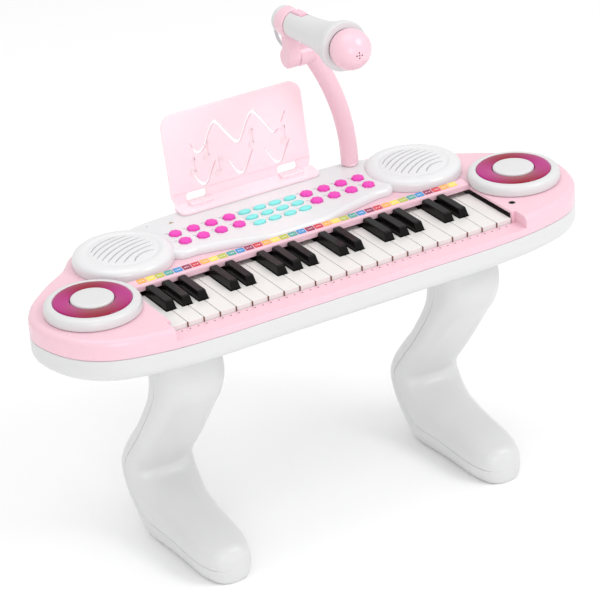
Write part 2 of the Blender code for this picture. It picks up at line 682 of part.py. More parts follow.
def mic_clip(looks, origin):
    """A ring that is open at its upper right, on a neck with the tilt hinge's outer hub."""
    half = CLIP_WIDTH / 2
    outer = [(-half, CLIP_RADIUS - 0.0015), (-half + 0.0020, CLIP_RADIUS)]
    outer += [(half - 0.0020, CLIP_RADIUS), (half, CLIP_RADIUS - 0.0015)]
    clip = place("mic_clip", loft(mic_rings(outer)), looks["pink"], origin)
    corners = [(-0.0060, -0.0110), (0.0060, -0.0110), (0.0070, -HUB_DROP), (-0.0070, -HUB_DROP)]
    neck = mic_block(corners, -0.0080, 0.0042)
    hub = ring_along_x(MIC_X - 0.0080, MIC_X + 0.0042, *hub_place(), 0.0100)
    combine(clip, "UNION", neck, hub, origin=origin)
    bore = [(-half - 0.0100, NECK_RADIUS + GAP), (half + 0.0100, NECK_RADIUS + GAP)]
    combine(clip, "DIFFERENCE", loft(mic_rings(bore)), origin=origin)
    corners = [(-0.0120, -0.0010), (0.0120, -0.0010), (0.0120, 0.0200), (-0.0120, 0.0200)]
    mouth = mic_block(corners, 0.0030, 0.0200)
    return combine(clip, "DIFFERENCE", mouth, origin=origin)


def mic_cord(looks):
    """A short captive cord from the microphone's tail round into the back of the arm."""
    points = [mic_point(-HANDLE_TAIL - GAP - 0.0001), mic_point(-HANDLE_TAIL - 0.0070)]
    points += [Vector((MIC_X + x, ARM_Y + y, ARM_TOP + z)) for x, y, z in CORD_ROUTE]
    curve = bpy.data.curves.new("mic_cord", "CURVE")
    curve.dimensions = "3D"
    curve.bevel_depth = CORD_RADIUS
    curve.bevel_resolution = 2
    curve.use_fill_caps = True
    smooth = []
    for i in range(len(points) - 1):
        a, b = points[max(i - 1, 0)], points[i]
        c, d = points[i + 1], points[min(i + 2, len(points) - 1)]
        smooth += [catmull_rom(a, b, c, d, step / CORD_STEPS) for step in range(CORD_STEPS)]
    smooth.append(points[-1])
    spline = curve.splines.new("POLY")
    spline.points.add(len(smooth) - 1)
    for target, p in zip(spline.points, smooth):
        target.co = (*world(*p), 1.0)
    curve.materials.append(looks["cord"])
    cord = bpy.data.objects.new("mic_cord", curve)
    bpy.context.scene.collection.objects.link(cord)
    return cord


def leg(side, looks):
    """A Z-shaped leg: a wide head, a shin that runs back and down, and a foot that runs forward."""
    hand = "left" if side < 0 else "right"
    floor = -KEY_TOP
    top = CASE_BOTTOM - GAP
    # Centre line stations: (y, z, direction of the section's depth in degrees, half depth, half width)
    stations = [
        (LEG_HEAD_Y, top + 0.0120, 0, LEG_PLUG[1], LEG_PLUG[0]),
        (LEG_HEAD_Y, top + 0.0001, 0, LEG_PLUG[1], LEG_PLUG[0]),
        (LEG_HEAD_Y, top, 0, 0.0275, 0.0325),
        (0.0400, -0.0665, 2, 0.0300, 0.0340),
        (0.0430, -0.0850, 12, 0.0275, 0.0335),
        (0.0540, -0.1060, 28, 0.0210, 0.0335),
        (0.0790, -0.1420, 33, 0.0185, 0.0345),
        (0.0983, -0.1653, 24, 0.0200, 0.0348),
        (0.1133, -0.1843, 12, 0.0207, 0.0350),
        (0.1188, -0.1975, -3, 0.0213, 0.0350),
        (0.1145, -0.2115, -22, 0.0222, 0.0350),
        (0.1040, -0.2258, -45, 0.0256, 0.0342),
        (0.0875, -0.2395, -66, 0.0311, 0.0325),
        (0.0640, -0.2418, -82, 0.0275, 0.0305),
        (0.0450, -0.2427, -96, 0.0258, 0.0290),
        (0.0050, -0.2455, -96, 0.0232, 0.0270),
        (-0.0130, -0.2473, -94, 0.0208, 0.0225),
        (-0.0245, -0.2490, -92, 0.0163, 0.0130),
    ]
    rings = []
    for y, z, turn, depth, width in stations:
        forward = Vector((0.0, -math.cos(math.radians(turn)), -math.sin(math.radians(turn))))
        ring = []
        for i in range(LEG_POINTS):
            angle = 2 * math.pi * i / LEG_POINTS
            cosine, sine = math.cos(angle), math.sin(angle)
            across = math.copysign(abs(cosine) ** LEG_CORNER, cosine) * width
            ahead = math.copysign(abs(sine) ** LEG_CORNER, sine) * depth
            point = Vector((side * LEG_X + across, y, z)) + forward * ahead
            point.z = max(point.z, floor)
            ring.append(point)
        rings.append(ring)
    return place(f"{hand}_leg", loft(rings), looks["white"])


def main():
    for old in list(bpy.data.objects):
        bpy.data.objects.remove(old, do_unlink=True)
    looks = {
        "pink": material("pink_plastic", (0.91, 0.60, 0.68), 0.28),
        "white": material("white_plastic", (0.84, 0.84, 0.85), 0.30),
        "ivory": material("ivory_plastic", (0.86, 0.85, 0.82), 0.25),
        "ebony": material("ebony_plastic", (0.012, 0.011, 0.012), 0.18),
        "lens": material("magenta_lens", (0.42, 0.01, 0.16), 0.12),
        "magenta": material("magenta_rubber", (0.79, 0.05, 0.46), 0.40),
        "teal": material("teal_rubber", (0.25, 0.76, 0.73), 0.40),
        "board": material("board_laminate", (0.02, 0.16, 0.07), 0.50),
        "cord": material("cord_sleeve", (0.72, 0.72, 0.74), 0.50),
    }
    upper_case(looks)
    lower_case(looks)
    battery_cover(looks)
    main_board(looks)
    control_panel(looks)
    for side in (-1, 1):
        drum(side, looks)
        leg(side, looks)
    for side in (-1, 0, 1):
        keypad(side, looks)
    for white in range(WHITE_KEYS):
        white_key(white, looks)
        if sharp_after(white):
            black_key(white, looks)
    music_stand(looks)
    mic_arm(looks)
    tilt_hinge = (MIC_X, *hub_place())
    for make in (mic_head, mic_handle, mic_switch, mic_clip):
        make(looks, tilt_hinge)
    mic_cord(looks)


main()
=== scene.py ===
import math

import bmesh
import bpy
import numpy as np
from mathutils import Matrix, Vector


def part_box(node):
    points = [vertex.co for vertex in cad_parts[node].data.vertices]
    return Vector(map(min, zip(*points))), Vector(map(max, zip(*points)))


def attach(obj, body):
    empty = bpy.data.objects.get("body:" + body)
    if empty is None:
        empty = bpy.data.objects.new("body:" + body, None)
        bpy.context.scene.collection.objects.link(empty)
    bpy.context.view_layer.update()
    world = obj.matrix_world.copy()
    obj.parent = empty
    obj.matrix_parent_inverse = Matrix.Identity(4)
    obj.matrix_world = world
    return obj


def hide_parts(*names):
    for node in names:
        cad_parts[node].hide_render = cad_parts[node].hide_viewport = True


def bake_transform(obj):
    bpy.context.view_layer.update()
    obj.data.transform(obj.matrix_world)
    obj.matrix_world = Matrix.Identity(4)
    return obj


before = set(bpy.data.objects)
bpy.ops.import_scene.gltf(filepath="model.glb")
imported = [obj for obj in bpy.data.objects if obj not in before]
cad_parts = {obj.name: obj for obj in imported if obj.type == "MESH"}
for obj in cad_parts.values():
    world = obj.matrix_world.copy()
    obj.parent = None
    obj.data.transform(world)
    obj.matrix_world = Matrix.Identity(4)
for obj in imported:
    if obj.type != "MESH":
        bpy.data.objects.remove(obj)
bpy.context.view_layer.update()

# The looks of a child's electronic keyboard. Lengths are metres. Shapes are given from the white keys:
# height 0 is their top and depth 0 is their front edge, and OFFSET takes that to the world.
first_key, last_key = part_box("white_key_01"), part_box("white_key_22")
OFFSET = Vector((0.0, first_key[0].y, first_key[1].z))
KEY_SLOT = 0.0006
WHITE_KEYS, HALF_KEYS = 22, 11
PITCH = (last_key[1].x - first_key[0].x + KEY_SLOT) / WHITE_KEYS
BAY_HALF = HALF_KEYS * PITCH + KEY_SLOT
GAP = 0.0003             # between parts that touch
SKIN = 0.0025            # wall thickness of the case
SEAM, CASE_TOP, CASE_BOTTOM = -0.0123, 0.0065, -0.0360
LEDGE, LEDGE_HALF = -0.0048, 0.1860  # the step in front of the keys
KEY_BOTTOM, KEY_REAR = -0.0090, 0.0895
BLACK_WIDTH, BLACK_FRONT, BLACK_REAR, BLACK_TOP = 0.0098, 0.0295, 0.0705, 0.0082
BLACK_CLEARANCE = 0.0008
LIP_FRONT, LIP_TOP, LIP_WIDTH = 0.0712, 0.0098, 0.0040
DRUM_X, DRUM_Y = 0.2268, 0.0610
LABEL_FRONT, LABEL_REAR, LABEL_LOW, LABEL_HIGH = 0.0755, 0.0828, 0.0095, 0.0108
PANEL_TOP, PANEL_REAR = 0.0140, 0.1850
DOME_X, DOME_Y, DOME_RADIUS, DOME_TOP = 0.1585, 0.1335, 0.0474, 0.0190
DOME_RIM, DOME_EDGE = 0.0320, 0.0177  # where the crown of a dome starts: radius and height
JACK_X, JACK_Y, JACK_RADIUS = 0.1940, 0.0163, 0.0033
GRILLE_RADIUS = 0.0344
BUTTON_TOP = 0.0166
FLOWER_RADIUS, FLOWER_ROWS = 0.0056, (0.1206, 0.1400)
TEAL_ROWS = (0.1125, 0.1270, 0.1415)
ARM_X, ARM_Y, ARM_TOP, ARM_LEAN, ARM_STRAIGHT = 0.1120, 0.1740, 0.1440, 2.52, 0.0200
ARM_WIDTH, ARM_DEPTH = 0.0182, 0.0140
MIC_X, MIC_Y, MIC_Z, MIC_TILT, HUB_DROP = 0.0568, 0.1735, 0.1755, math.radians(3.0), 0.0355
HANDLE_TAIL, HANDLE_FRONT, BALL_AT, BALL_RADIUS = 0.0160, 0.0880, 0.1075, 0.0192
NECK_RADIUS, CLIP_RADIUS, CLIP_WIDTH = 0.0116, 0.0148, 0.0140
CORD_RADIUS = 0.0016
CORD_ROUTE = (
    (0.0005, 0.0270, 0.0280),
    (0.0010, 0.0320, 0.0170),
    (0.0040, 0.0320, 0.0030),
    (0.0110, 0.0270, -0.0080),
    (0.0190, 0.0180, -0.0150),
    (0.0260, 0.0076, -0.0175),
)
STAND_FOOT, STAND_LEAN, STAND_HEIGHT, STAND_HALF = 0.1865, math.radians(8.0), 0.0910, 0.0760
STAND_THICK, TRAY_FRONT, TRAY_REAR, TRAY_THICK = 0.0030, 0.1680, 0.1890, 0.0042
TAB_X, TAB_HALF, TAB_FRONT, TAB_REAR = 0.0520, 0.0090, 0.1740, 0.1780
CLIP_X = 0.0500          # of the stand's windows and of the clips in front of them
LEG_X, LEG_HEAD_Y, LEG_CORNER = 0.1510, 0.0440, 0.80
SEAM_EDGE, SEAM_DEPTH = 0.012, 0.0011  # of the groove where a leg's shells meet: radians and metres
CAMERA_TURN = (-29.0106, 26.5463, -4.0)  # degrees: azimuth, elevation and roll
CAMERA_DISTANCE, CAMERA_LENS, CAMERA_SENSOR = 2.5296, 168.0432, 36.0
CAMERA_AIM = Vector((-0.0502, 0.0, -0.0141))
SKY_STRENGTH = 0.84
FLOOR_REACH, FLOOR_DROP = 8.0, 0.0004
ALONG, AWAY, UPWARD = Vector((1, 0, 0)), Vector((0, 1, 0)), Vector((0, 0, 1))
SIDES = ((-1, "left"), (1, "right"))


# ---------------------------------------------------------------- camera, floor and light
def camera():
    azimuth, elevation, roll = (math.radians(angle) for angle in CAMERA_TURN)
    level_back = Vector((math.sin(azimuth), -math.cos(azimuth), 0.0))
    back = level_back * math.cos(elevation) + UPWARD * math.sin(elevation)
    level = Vector((math.cos(azimuth), math.sin(azimuth), 0.0))
    upright = back.cross(level)
    right = math.cos(roll) * level + math.sin(roll) * upright
    up = math.cos(roll) * upright - math.sin(roll) * level
    data = bpy.data.cameras.new("camera")
    data.sensor_width = CAMERA_SENSOR
    data.lens = CAMERA_LENS
    made = bpy.data.objects.new("camera", data)
    made.matrix_world = Matrix((right, up, back)).transposed().to_4x4()
    made.location = OFFSET + CAMERA_AIM + back * CAMERA_DISTANCE
    bpy.context.scene.collection.objects.link(made)
    bpy.context.scene.camera = made


def area_light(name, location, aim, size, watts):
    data = bpy.data.lights.new(name, "AREA")
    data.shape = "DISK"
    data.size = size
    data.energy = watts
    made = bpy.data.objects.new(name, data)
    made.location = location
    made.rotation_euler = (Vector(aim) - Vector(location)).to_track_quat("-Z", "Y").to_euler()
    bpy.context.scene.collection.objects.link(made)


def studio():
    scene = bpy.context.scene
    scene.view_settings.view_transform = "Standard"
    sky = bpy.data.worlds.new("studio")
    sky.use_nodes = True
    sky.node_tree.nodes["Background"].inputs["Color"].default_value = (1.0, 1.0, 1.0, 1.0)
    sky.node_tree.nodes["Background"].inputs["Strength"].default_value = SKY_STRENGTH
    scene.world = sky
    area_light("key_light", (1.1, -1.2, 1.9), (0.0, 0.0, 0.2), size=1.1, watts=14.0)
    area_light("top_light", (-0.3, 0.2, 2.2), (0.0, 0.0, 0.2), size=1.6, watts=8.0)
    area_light("front_light", (-1.2, -2.4, 1.0), (0.0, 0.1, 0.35), size=1.4, watts=14.0)
    data = bpy.data.meshes.new("floor")
    corners = [(x * FLOOR_REACH, y * FLOOR_REACH, 0) for x, y in ((-1, -1), (1, -1), (1, 1), (-1, 1))]
    data.from_pydata(corners, [], [(0, 1, 2, 3)])
    floor = bpy.data.objects.new("floor", data)
    floor.location.z = -FLOOR_DROP
    bpy.context.scene.collection.objects.link(floor)
    data.materials.append(plastic("studio_floor", (0.97, 0.97, 0.97), 0.85, speck=0.0, bump=0.0,
                                  specular=0.0))


# ---------------------------------------------------------------- materials
def fed(tree, kind, source, socket, values=None):
    """A new node of a material, with its values set and one input fed by another node's output."""
    made = tree.nodes.new("ShaderNode" + kind)
    for name, value in (values or {}).items():
        made.inputs[name].default_value = value
    tree.links.new(source, made.inputs[socket])
    return made


def plastic(name, colour, roughness, speck=0.02, bump=0.02, grain=9000.0, coat=0.0, specular=0.5,
            mottle=60.0, subsurface=0.0):
    """Moulded plastic: a faint mottle in the colour, a fine skin texture, and a roughness that wanders."""
    made = bpy.data.materials.new(name)
    made.use_nodes = True
    tree = made.node_tree
    shader = tree.nodes["Principled BSDF"]
    settings = {"Specular IOR Level": specular, "Coat Weight": coat, "Coat Roughness": 0.04}
    if subsurface:
        settings["Subsurface Weight"] = subsurface
        settings["Subsurface Radius"] = (0.004, 0.003, 0.003)
        settings["Subsurface Scale"] = 1.0
    for setting, value in settings.items():
        shader.inputs[setting].default_value = value
    place = tree.nodes.new("ShaderNodeTexCoord").outputs["Object"]
    cloud = fed(tree, "TexNoise", place, "Vector", {"Scale": mottle, "Detail": 4.0}).outputs["Fac"]
    tint = fed(tree, "Mix", cloud, "Factor")
    tint.data_type = "RGBA"
    tint.inputs[6].default_value = (*[max(c * (1.0 - speck), 0.0) for c in colour], 1.0)
    tint.inputs[7].default_value = (*[min(c * (1.0 + speck), 1.0) for c in colour], 1.0)
    tree.links.new(tint.outputs[2], shader.inputs["Base Color"])
    limits = {"To Min": roughness * 0.85, "To Max": min(roughness * 1.15, 1.0)}
    wander = fed(tree, "MapRange", cloud, "Value", limits)
    tree.links.new(wander.outputs["Result"], shader.inputs["Roughness"])
    if bump:
        skin = fed(tree, "TexNoise", place, "Vector", {"Scale": grain, "Detail": 2.0})
        relief = fed(tree, "Bump", skin.outputs["Fac"], "Height", {"Strength": bump, "Distance": 0.0002})
        tree.links.new(relief.outputs["Normal"], shader.inputs["Normal"])
    return made


def lens_material(name, centre):
    """Clear magenta with painted shade: it turns to darker crimson twice round the ring, at the front and the
    back.
    """
    made = plastic(name, (0.50, 0.01, 0.22), 0.10, specular=0.35)
    tree = made.node_tree
    place = tree.nodes.new("ShaderNodeTexCoord").outputs["Object"]
    move = fed(tree, "Mapping", place, "Vector", {"Location": (-centre.x, -centre.y, 0.0)})
    parts = fed(tree, "SeparateXYZ", move.outputs["Vector"], "Vector")
    turn = fed(tree, "Math", parts.outputs["Y"], 0)
    turn.operation = "ARCTAN2"
    tree.links.new(parts.outputs["X"], turn.inputs[1])
    twice = fed(tree, "Math", turn.outputs[0], 0, {1: 2.0, 2: 0.6})
    twice.operation = "MULTIPLY_ADD"
    wave = fed(tree, "Math", twice.outputs[0], 0)
    wave.operation = "COSINE"
    spread = fed(tree, "MapRange", wave.outputs[0], "Value", {"From Min": -1.0})
    ramp = fed(tree, "ValToRGB", spread.outputs["Result"], "Fac")
    # painted shade: the darker crimson at the front and the back of the ring
    ramp.color_ramp.elements[0].color = (0.27, 0.001, 0.022, 1.0)
    ramp.color_ramp.elements[1].color = (0.42, 0.006, 0.19, 1.0)
    tree.links.new(ramp.outputs["Color"], tree.nodes["Principled BSDF"].inputs["Base Color"])
    return made


# ---------------------------------------------------------------- shapes
def mesh_from(points, faces):
    mesh = bpy.data.meshes.new("shape")
    mesh.from_pydata([tuple(p) for p in points], [], faces)
    shape = bmesh.new()
    shape.from_mesh(mesh)
    bmesh.ops.recalc_face_normals(shape, faces=shape.faces)
    shape.to_mesh(mesh)
    shape.free()
    return mesh


def loft(rings):
    """A closed solid through rings of equal length, with flat ends."""
    count = len(rings[0])
    points = [p for ring in rings for p in ring]
    faces = [tuple(range(count))[::-1], tuple(range((len(rings) - 1) * count, len(points)))]
    for level in range(len(rings) - 1):
        low, high = level * count, (level + 1) * count
        for i in range(count):
            j = (i + 1) % count
            faces.append((low + i, low + j, high + j, high + i))
    return mesh_from(points, faces)


def prism(outline, low, high):
    return loft([[(x, y, z) for x, y in outline] for z in (low, high)])


def box(low, high):
    corners = [(low[0], low[1]), (high[0], low[1]), (high[0], high[1]), (low[0], high[1])]
    return prism(corners, low[2], high[2])


def circle(x, y, radius, count=96):
    turn = [2 * math.pi * i / count for i in range(count)]
    return [(x + radius * math.cos(a), y + radius * math.sin(a)) for a in turn]


def turned(x, y, profile, count=96):
    return loft([[(px, py, z) for px, py in circle(x, y, r, count)] for r, z in profile])


def joined(*meshes):
    """One mesh from several that don't touch."""
    shape = bmesh.new()
    for mesh in meshes:
        shape.from_mesh(mesh)
    made = bpy.data.meshes.new("shape")
    shape.to_mesh(made)
    shape.free()
    return made


def rounded_box(low, high, radius, steps=8):
    middle = [(high[0] - radius, high[1] - radius), (low[0] + radius, high[1] - radius)]
    middle += [(low[0] + radius, low[1] + radius), (high[0] - radius, low[1] + radius)]
    outline = []
    for corner, (x, y) in enumerate(middle):
        for step in range(steps + 1):
            angle = math.pi / 2 * (corner + step / steps)
            outline.append((x + radius * math.cos(angle), y + radius * math.sin(angle)))
    return outline


def catmull_rom(a, b, c, d, t):
    square = (2 * a - 5 * b + 4 * c - d) * t**2
    cube = (3 * b - a - 3 * c + d) * t**3
    return 0.5 * (2 * b + (c - a) * t + square + cube)


def smooth_loop(points, steps=10):
    points = [np.array(p, float) for p in points]
    count = len(points)
    curve = []
    for i in range(count):
        around = [points[(i + k - 1) % count] for k in range(4)]
        curve += [catmull_rom(*around, step / steps) for step in range(steps)]
    return curve


def smooth_path(points, steps):
    """An open smooth curve through rows of numbers."""
    points = [np.array(p, float) for p in points]
    curve = []
    for i in range(len(points) - 1):
        a, b = points[max(i - 1, 0)], points[i]
        c, d = points[i + 1], points[min(i + 2, len(points) - 1)]
        curve += [catmull_rom(a, b, c, d, step / steps) for step in range(steps)]
    return curve + [points[-1]]


def inset(curve, distance):
    curve = np.array(curve)
    along = np.roll(curve, -1, 0) - np.roll(curve, 1, 0)
    normal = np.stack([-along[:, 1], along[:, 0]], 1)
    normal /= np.linalg.norm(normal, axis=1)[:, None]
    return [tuple(p) for p in curve + normal * distance]


def mirrored(half):
    return half + [(-x, y) for x, y in reversed(half)]


def shell(outline, levels):
    return loft([[(x, y, z) for x, y in inset(outline, d)] for d, z in levels])


def fillet(radius, z_wall, z_face, steps=8):
    levels = []
    for i in range(steps + 1):
        angle = math.pi / 2 * i / steps
        levels.append((radius * (1 - math.cos(angle)), z_wall + (z_face - z_wall) * math.sin(angle)))
    return levels


def ellipse(centre, across, up, half_across, half_up, count=48):
    turn = [2 * math.pi * i / count for i in range(count)]
    return [centre + across * half_across * math.cos(a) + up * half_up * math.sin(a) for a in turn]


def carve(mesh, operation, *others):
    """The mesh cut by, or joined with, other meshes."""
    scene = bpy.context.scene
    target = bpy.data.objects.new("target", mesh)
    scene.collection.objects.link(target)
    helpers = []
    for other in others:
        helper = bpy.data.objects.new("helper", other)
        scene.collection.objects.link(helper)
        step = target.modifiers.new("carve", "BOOLEAN")
        step.operation = operation
        step.solver = "EXACT"
        step.object = helper
        helpers.append(helper)
    bpy.context.view_layer.update()
    made = bpy.data.meshes.new_from_object(target.evaluated_get(bpy.context.evaluated_depsgraph_get()))
    for old in [target, *helpers]:
        bpy.data.objects.remove(old, do_unlink=True)
    return made


def piece(name, mesh, looks, body, nodes=(), bevel=0.0, segments=3, smooth=35):
    """A finished piece from a mesh given from the keys, riding on a body."""
    mesh.transform(Matrix.Translation(OFFSET))
    chosen = looks if isinstance(looks, list) else [looks]
    if len(chosen) == 1:
        mesh.materials.clear()
    for look in chosen:
        mesh.materials.append(look)
    mesh.shade_smooth()
    mesh.set_sharp_from_angle(angle=math.radians(smooth))
    made = bpy.data.objects.new(name, mesh)
    bpy.context.scene.collection.objects.link(made)
    if bevel:
        edge = made.modifiers.new("edges", "BEVEL")
        edge.width = bevel
        edge.segments = segments
        edge.limit_method = "ANGLE"
        edge.angle_limit = math.radians(32)
        edge.use_clamp_overlap = True
        edge.harden_normals = True
        weight = made.modifiers.new("shading", "WEIGHTED_NORMAL")
        weight.keep_sharp = False
    if nodes:
        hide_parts(*nodes)
    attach(made, body)
    return made


# ---------------------------------------------------------------- microphone cord, made first
def hub_place():
    return MIC_Y + HUB_DROP * math.sin(MIC_TILT), MIC_Z - HUB_DROP * math.cos(MIC_TILT)


def mic_point(along, up=0.0):
    y = MIC_Y - along * math.cos(MIC_TILT) + up * math.sin(MIC_TILT)
    z = MIC_Z + along * math.sin(MIC_TILT) + up * math.cos(MIC_TILT)
    return Vector((MIC_X, y, z))


def mic_rings(profile, count=64):
    up = (mic_point(0.0, 1.0) - mic_point(0.0)).normalized()
    return [ellipse(mic_point(a), ALONG, up, r, r, count) for a, r in profile]


def mic_cord(look):
    """The short captive cord: out of the microphone's tail, and down into the back of the arm."""
    route = [mic_point(-HANDLE_TAIL - GAP), mic_point(-HANDLE_TAIL - 0.0070)]
    route += [Vector((MIC_X + x, ARM_Y + y, ARM_TOP + z)) for x, y, z in CORD_ROUTE]
    path = [Vector(p) + OFFSET for p in smooth_path(route, 8)]
    curve = bpy.data.curves.new("microphone_cord", "CURVE")
    curve.dimensions = "3D"
    curve.bevel_depth = CORD_RADIUS
    curve.bevel_resolution = 5
    curve.use_fill_caps = True
    spline = curve.splines.new("POLY")
    spline.points.add(len(path) - 1)
    for target, p in zip(spline.points, path):
        target.co = (*p, 1.0)
    source = bpy.data.objects.new("cord_curve", curve)
    bpy.context.scene.collection.objects.link(source)
    bpy.context.view_layer.update()
    mesh = bpy.data.meshes.new_from_object(source.evaluated_get(bpy.context.evaluated_depsgraph_get()))
    bpy.data.objects.remove(source, do_unlink=True)
    mesh.materials.clear()
    mesh.materials.append(look)
    mesh.shade_smooth()
    cord = bpy.data.objects.new("microphone_cord", mesh)
    bpy.context.scene.collection.objects.link(cord)
    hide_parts("mic_cord")
    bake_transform(cord)


# ---------------------------------------------------------------- case
def case_outline():
    half = [(0.075, -0.0220), (0.150, -0.0218), (0.205, -0.0160), (0.247, -0.0020)]
    half += [(0.2735, 0.0270), (0.2835, 0.0700), (0.2700, 0.1040), (0.2410, 0.1330)]
    half += [(0.2140, 0.1530), (0.1880, 0.1800), (0.1400, 0.1935), (0.0700, 0.1950)]
    return smooth_loop(mirrored(half))


def upper_case(looks):
    outline = case_outline()
    outer = [(0.0006, SEAM), (0.0, SEAM + 0.0006)] + fillet(0.0060, CASE_TOP - 0.0060, CASE_TOP)
    rear = LIP_FRONT + LIP_WIDTH
    section = [(LIP_FRONT, CASE_TOP - 0.001), (LIP_FRONT, LIP_TOP - 0.0012),
               (LIP_FRONT + 0.0004, LIP_TOP - 0.0004),
               (LIP_FRONT + 0.0012, LIP_TOP), (rear - 0.0010, LIP_TOP), (rear, LIP_TOP - 0.0004),
               (LABEL_FRONT, LABEL_LOW), (LABEL_REAR, LABEL_HIGH), (LABEL_REAR + 0.0005, LABEL_HIGH - 0.0004),
               (LABEL_REAR + 0.0006, CASE_TOP - 0.001)]
    lip = loft([[(x, y, z) for y, z in section] for x in (-BAY_HALF, BAY_HALF)])
    mesh = carve(shell(outline, outer), "UNION", lip)
    inner = [(x, max(y, 0.0020)) for x, y in inset(outline, SKIN)]
    above = LIP_TOP + 0.010
    cutters = [
        prism(inner, SEAM - 0.010, CASE_TOP - SKIN),
        box((-BAY_HALF, -0.0190, SEAM - 0.010), (BAY_HALF, 0.0030, LEDGE - SKIN)),
        box((-LEDGE_HALF, -0.0400, LEDGE), (LEDGE_HALF, -KEY_SLOT, above)),
        box((-BAY_HALF, -KEY_SLOT, SEAM - 0.010), (BAY_HALF, LIP_FRONT, above)),
        turned(JACK_X, JACK_Y, [(JACK_RADIUS, 0.0), (JACK_RADIUS, above)], 48),
    ]
    # dots along the ledge, at each gap between white keys and at the middle of each key
    dot = [(0.0008, LEDGE - 0.0004), (0.0008, LEDGE + 0.00006)]
    dots = [turned((i - WHITE_KEYS) * PITCH / 2, -0.0044, dot, 12) for i in range(1, 2 * WHITE_KEYS)]
    # painted shade: a dark line in each gap between two white keys, for the shade down in the gap
    gap_shade_strips = []
    for i in range(1, WHITE_KEYS):
        x = (i - HALF_KEYS) * PITCH
        gap_shade_strips.append(box((x - 0.0005, -KEY_SLOT - 0.0002, LEDGE), (x + 0.0005, 0.0010, -0.0002)))
    mesh = carve(mesh, "DIFFERENCE", *cutters)
    piece("ledge_dots", joined(*dots), looks["umber"], "case")
    piece("key_gap_shadows", joined(*gap_shade_strips), looks["umber"], "case")
    piece("pink_top_case", mesh, looks["pink"], "case", ["upper_case"], bevel=0.0006)
    sleeve = [(0.0032, 0.0030), (0.0032, 0.0064), (0.0029, 0.0067), (0.0021, 0.0067), (0.0019, 0.0063),
              (0.0019, 0.0035)]
    jack = turned(JACK_X, JACK_Y, sleeve, 48)
    piece("headphone_jack", jack, looks["dark"], "case")


def sticker_strip(looks):
    """Small coloured labels along the ramp behind the lip, in a cycle of seven, with plain dashes."""
    count, pitch = 37, 0.00935
    slope = math.atan2(LABEL_HIGH - LABEL_LOW, LABEL_REAR - LABEL_FRONT)
    ramp = Matrix.Translation((0, LABEL_FRONT, LABEL_LOW)) @ Matrix.Rotation(slope, 4, "X")
    slabs, marks = [], []
    for i in range(count):
        x = (i - (count - 1) / 2) * pitch
        slab = prism(rounded_box((x - 0.0042, 0.0002), (x + 0.0042, 0.0070), 0.0007, 4), -0.0001, 0.0002)
        slab.transform(ramp)
        slabs.append((slab, (i + 1) % 7))
        for k in (-1, 0, 1):
            width = 0.0009 if (i + k) % 3 else 0.0005
            middle = x + k * 0.0019
            mark = box((middle - width / 2, 0.0028, 0.0001), (middle + width / 2, 0.0042, 0.00026))
            mark.transform(ramp)
            marks.append(mark)
    shape = bmesh.new()
    for slab, colour in slabs:
        before = len(shape.faces)
        shape.from_mesh(slab)
        shape.faces.ensure_lookup_table()
        for face in shape.faces[before:]:
            face.material_index = colour
    mesh = bpy.data.meshes.new("shape")
    shape.to_mesh(mesh)
    shape.free()
    piece("note_labels", mesh, [looks[f"label_{i}"] for i in range(7)], "case")
    piece("note_label_marks", joined(*marks), looks["print_white"], "case")


def lower_case(looks):
    outline = case_outline()
    outer = [(d, CASE_BOTTOM + 0.0110 - z) for d, z in fillet(0.0110, 0.0, 0.0110)][::-1]
    outer += [(0.0, SEAM - 0.0009), (0.0006, SEAM - GAP)]
    inner = [(0.0110, CASE_BOTTOM + SKIN), (SKIN + 0.002, CASE_BOTTOM + 0.010)]
    inner += [(SKIN, CASE_BOTTOM + 0.014), (SKIN, 0.0)]
    cutters = [shell(outline, inner)]
    below, above = CASE_BOTTOM - 0.010, CASE_BOTTOM + 0.006
    for side in (-1, 1):
        low = (side * LEG_X - 0.0205, LEG_HEAD_Y - 0.0195)
        high = (side * LEG_X + 0.0205, LEG_HEAD_Y + 0.0195)
        cutters.append(prism(rounded_box(low, high, 0.0080), below, above))
    cutters.append(prism(rounded_box((-0.0475, 0.0995), (0.0475, 0.1605), 0.0040), below, above))
    wells, screws = [], []
    right = ((0.225, 0.040), (0.080, -0.008), (0.110, 0.172))
    for x, y in [(side * x, y) for x, y in right for side in (-1, 1)]:
        wells.append(turned(x, y, [(0.0040, below), (0.0040, CASE_BOTTOM + 0.0016)], 32))
        screws.append(screw(x, y, CASE_BOTTOM + 0.0017))
    mesh = carve(shell(outline, outer), "DIFFERENCE", *cutters, joined(*wells))
    piece("white_bottom_case", mesh, looks["white"], "case", ["lower_case"], bevel=0.0006)
    piece("case_screws", joined(*screws), looks["steel"], "case", smooth=40)
    # painted shade: thin dark slabs across the bottom, for the shade inside the vent slots
    holes = [box((x - 0.004, 0.0700, CASE_BOTTOM - 0.0003), (x + 0.004, 0.0712, CASE_BOTTOM + 0.0002))
             for x in np.linspace(-0.06, 0.06, 9)]
    piece("vent_painted_shade", joined(*holes), looks["dark"], "case")


def screw(x, y, top):
    """A cross-head screw that points up into the case, seen from below."""
    head = turned(x, y, [(0.0018, top - 0.0012), (0.0030, top - 0.0008), (0.0032, top),
                         (0.0012, top + 0.0002), (0.0012, top + 0.004)], 28)
    reach, slit = 0.0016, 0.0003
    low, high = top - 0.0030, top - 0.0006
    cross = [box((x - across, y - along, low), (x + across, y + along, high))
             for across, along in ((reach, slit), (slit, reach))]
    return carve(head, "DIFFERENCE", *cross)


# ---------------------------------------------------------------- control panel
def panel_outline():
    half = [(0.030, 0.0835), (0.062, 0.0930), (0.095, 0.1010), (0.1180, 0.1060)]
    half += [(0.1400, 0.1500), (0.1300, 0.1780), (0.090, PANEL_REAR), (0.045, PANEL_REAR)]
    return smooth_loop(mirrored(half))


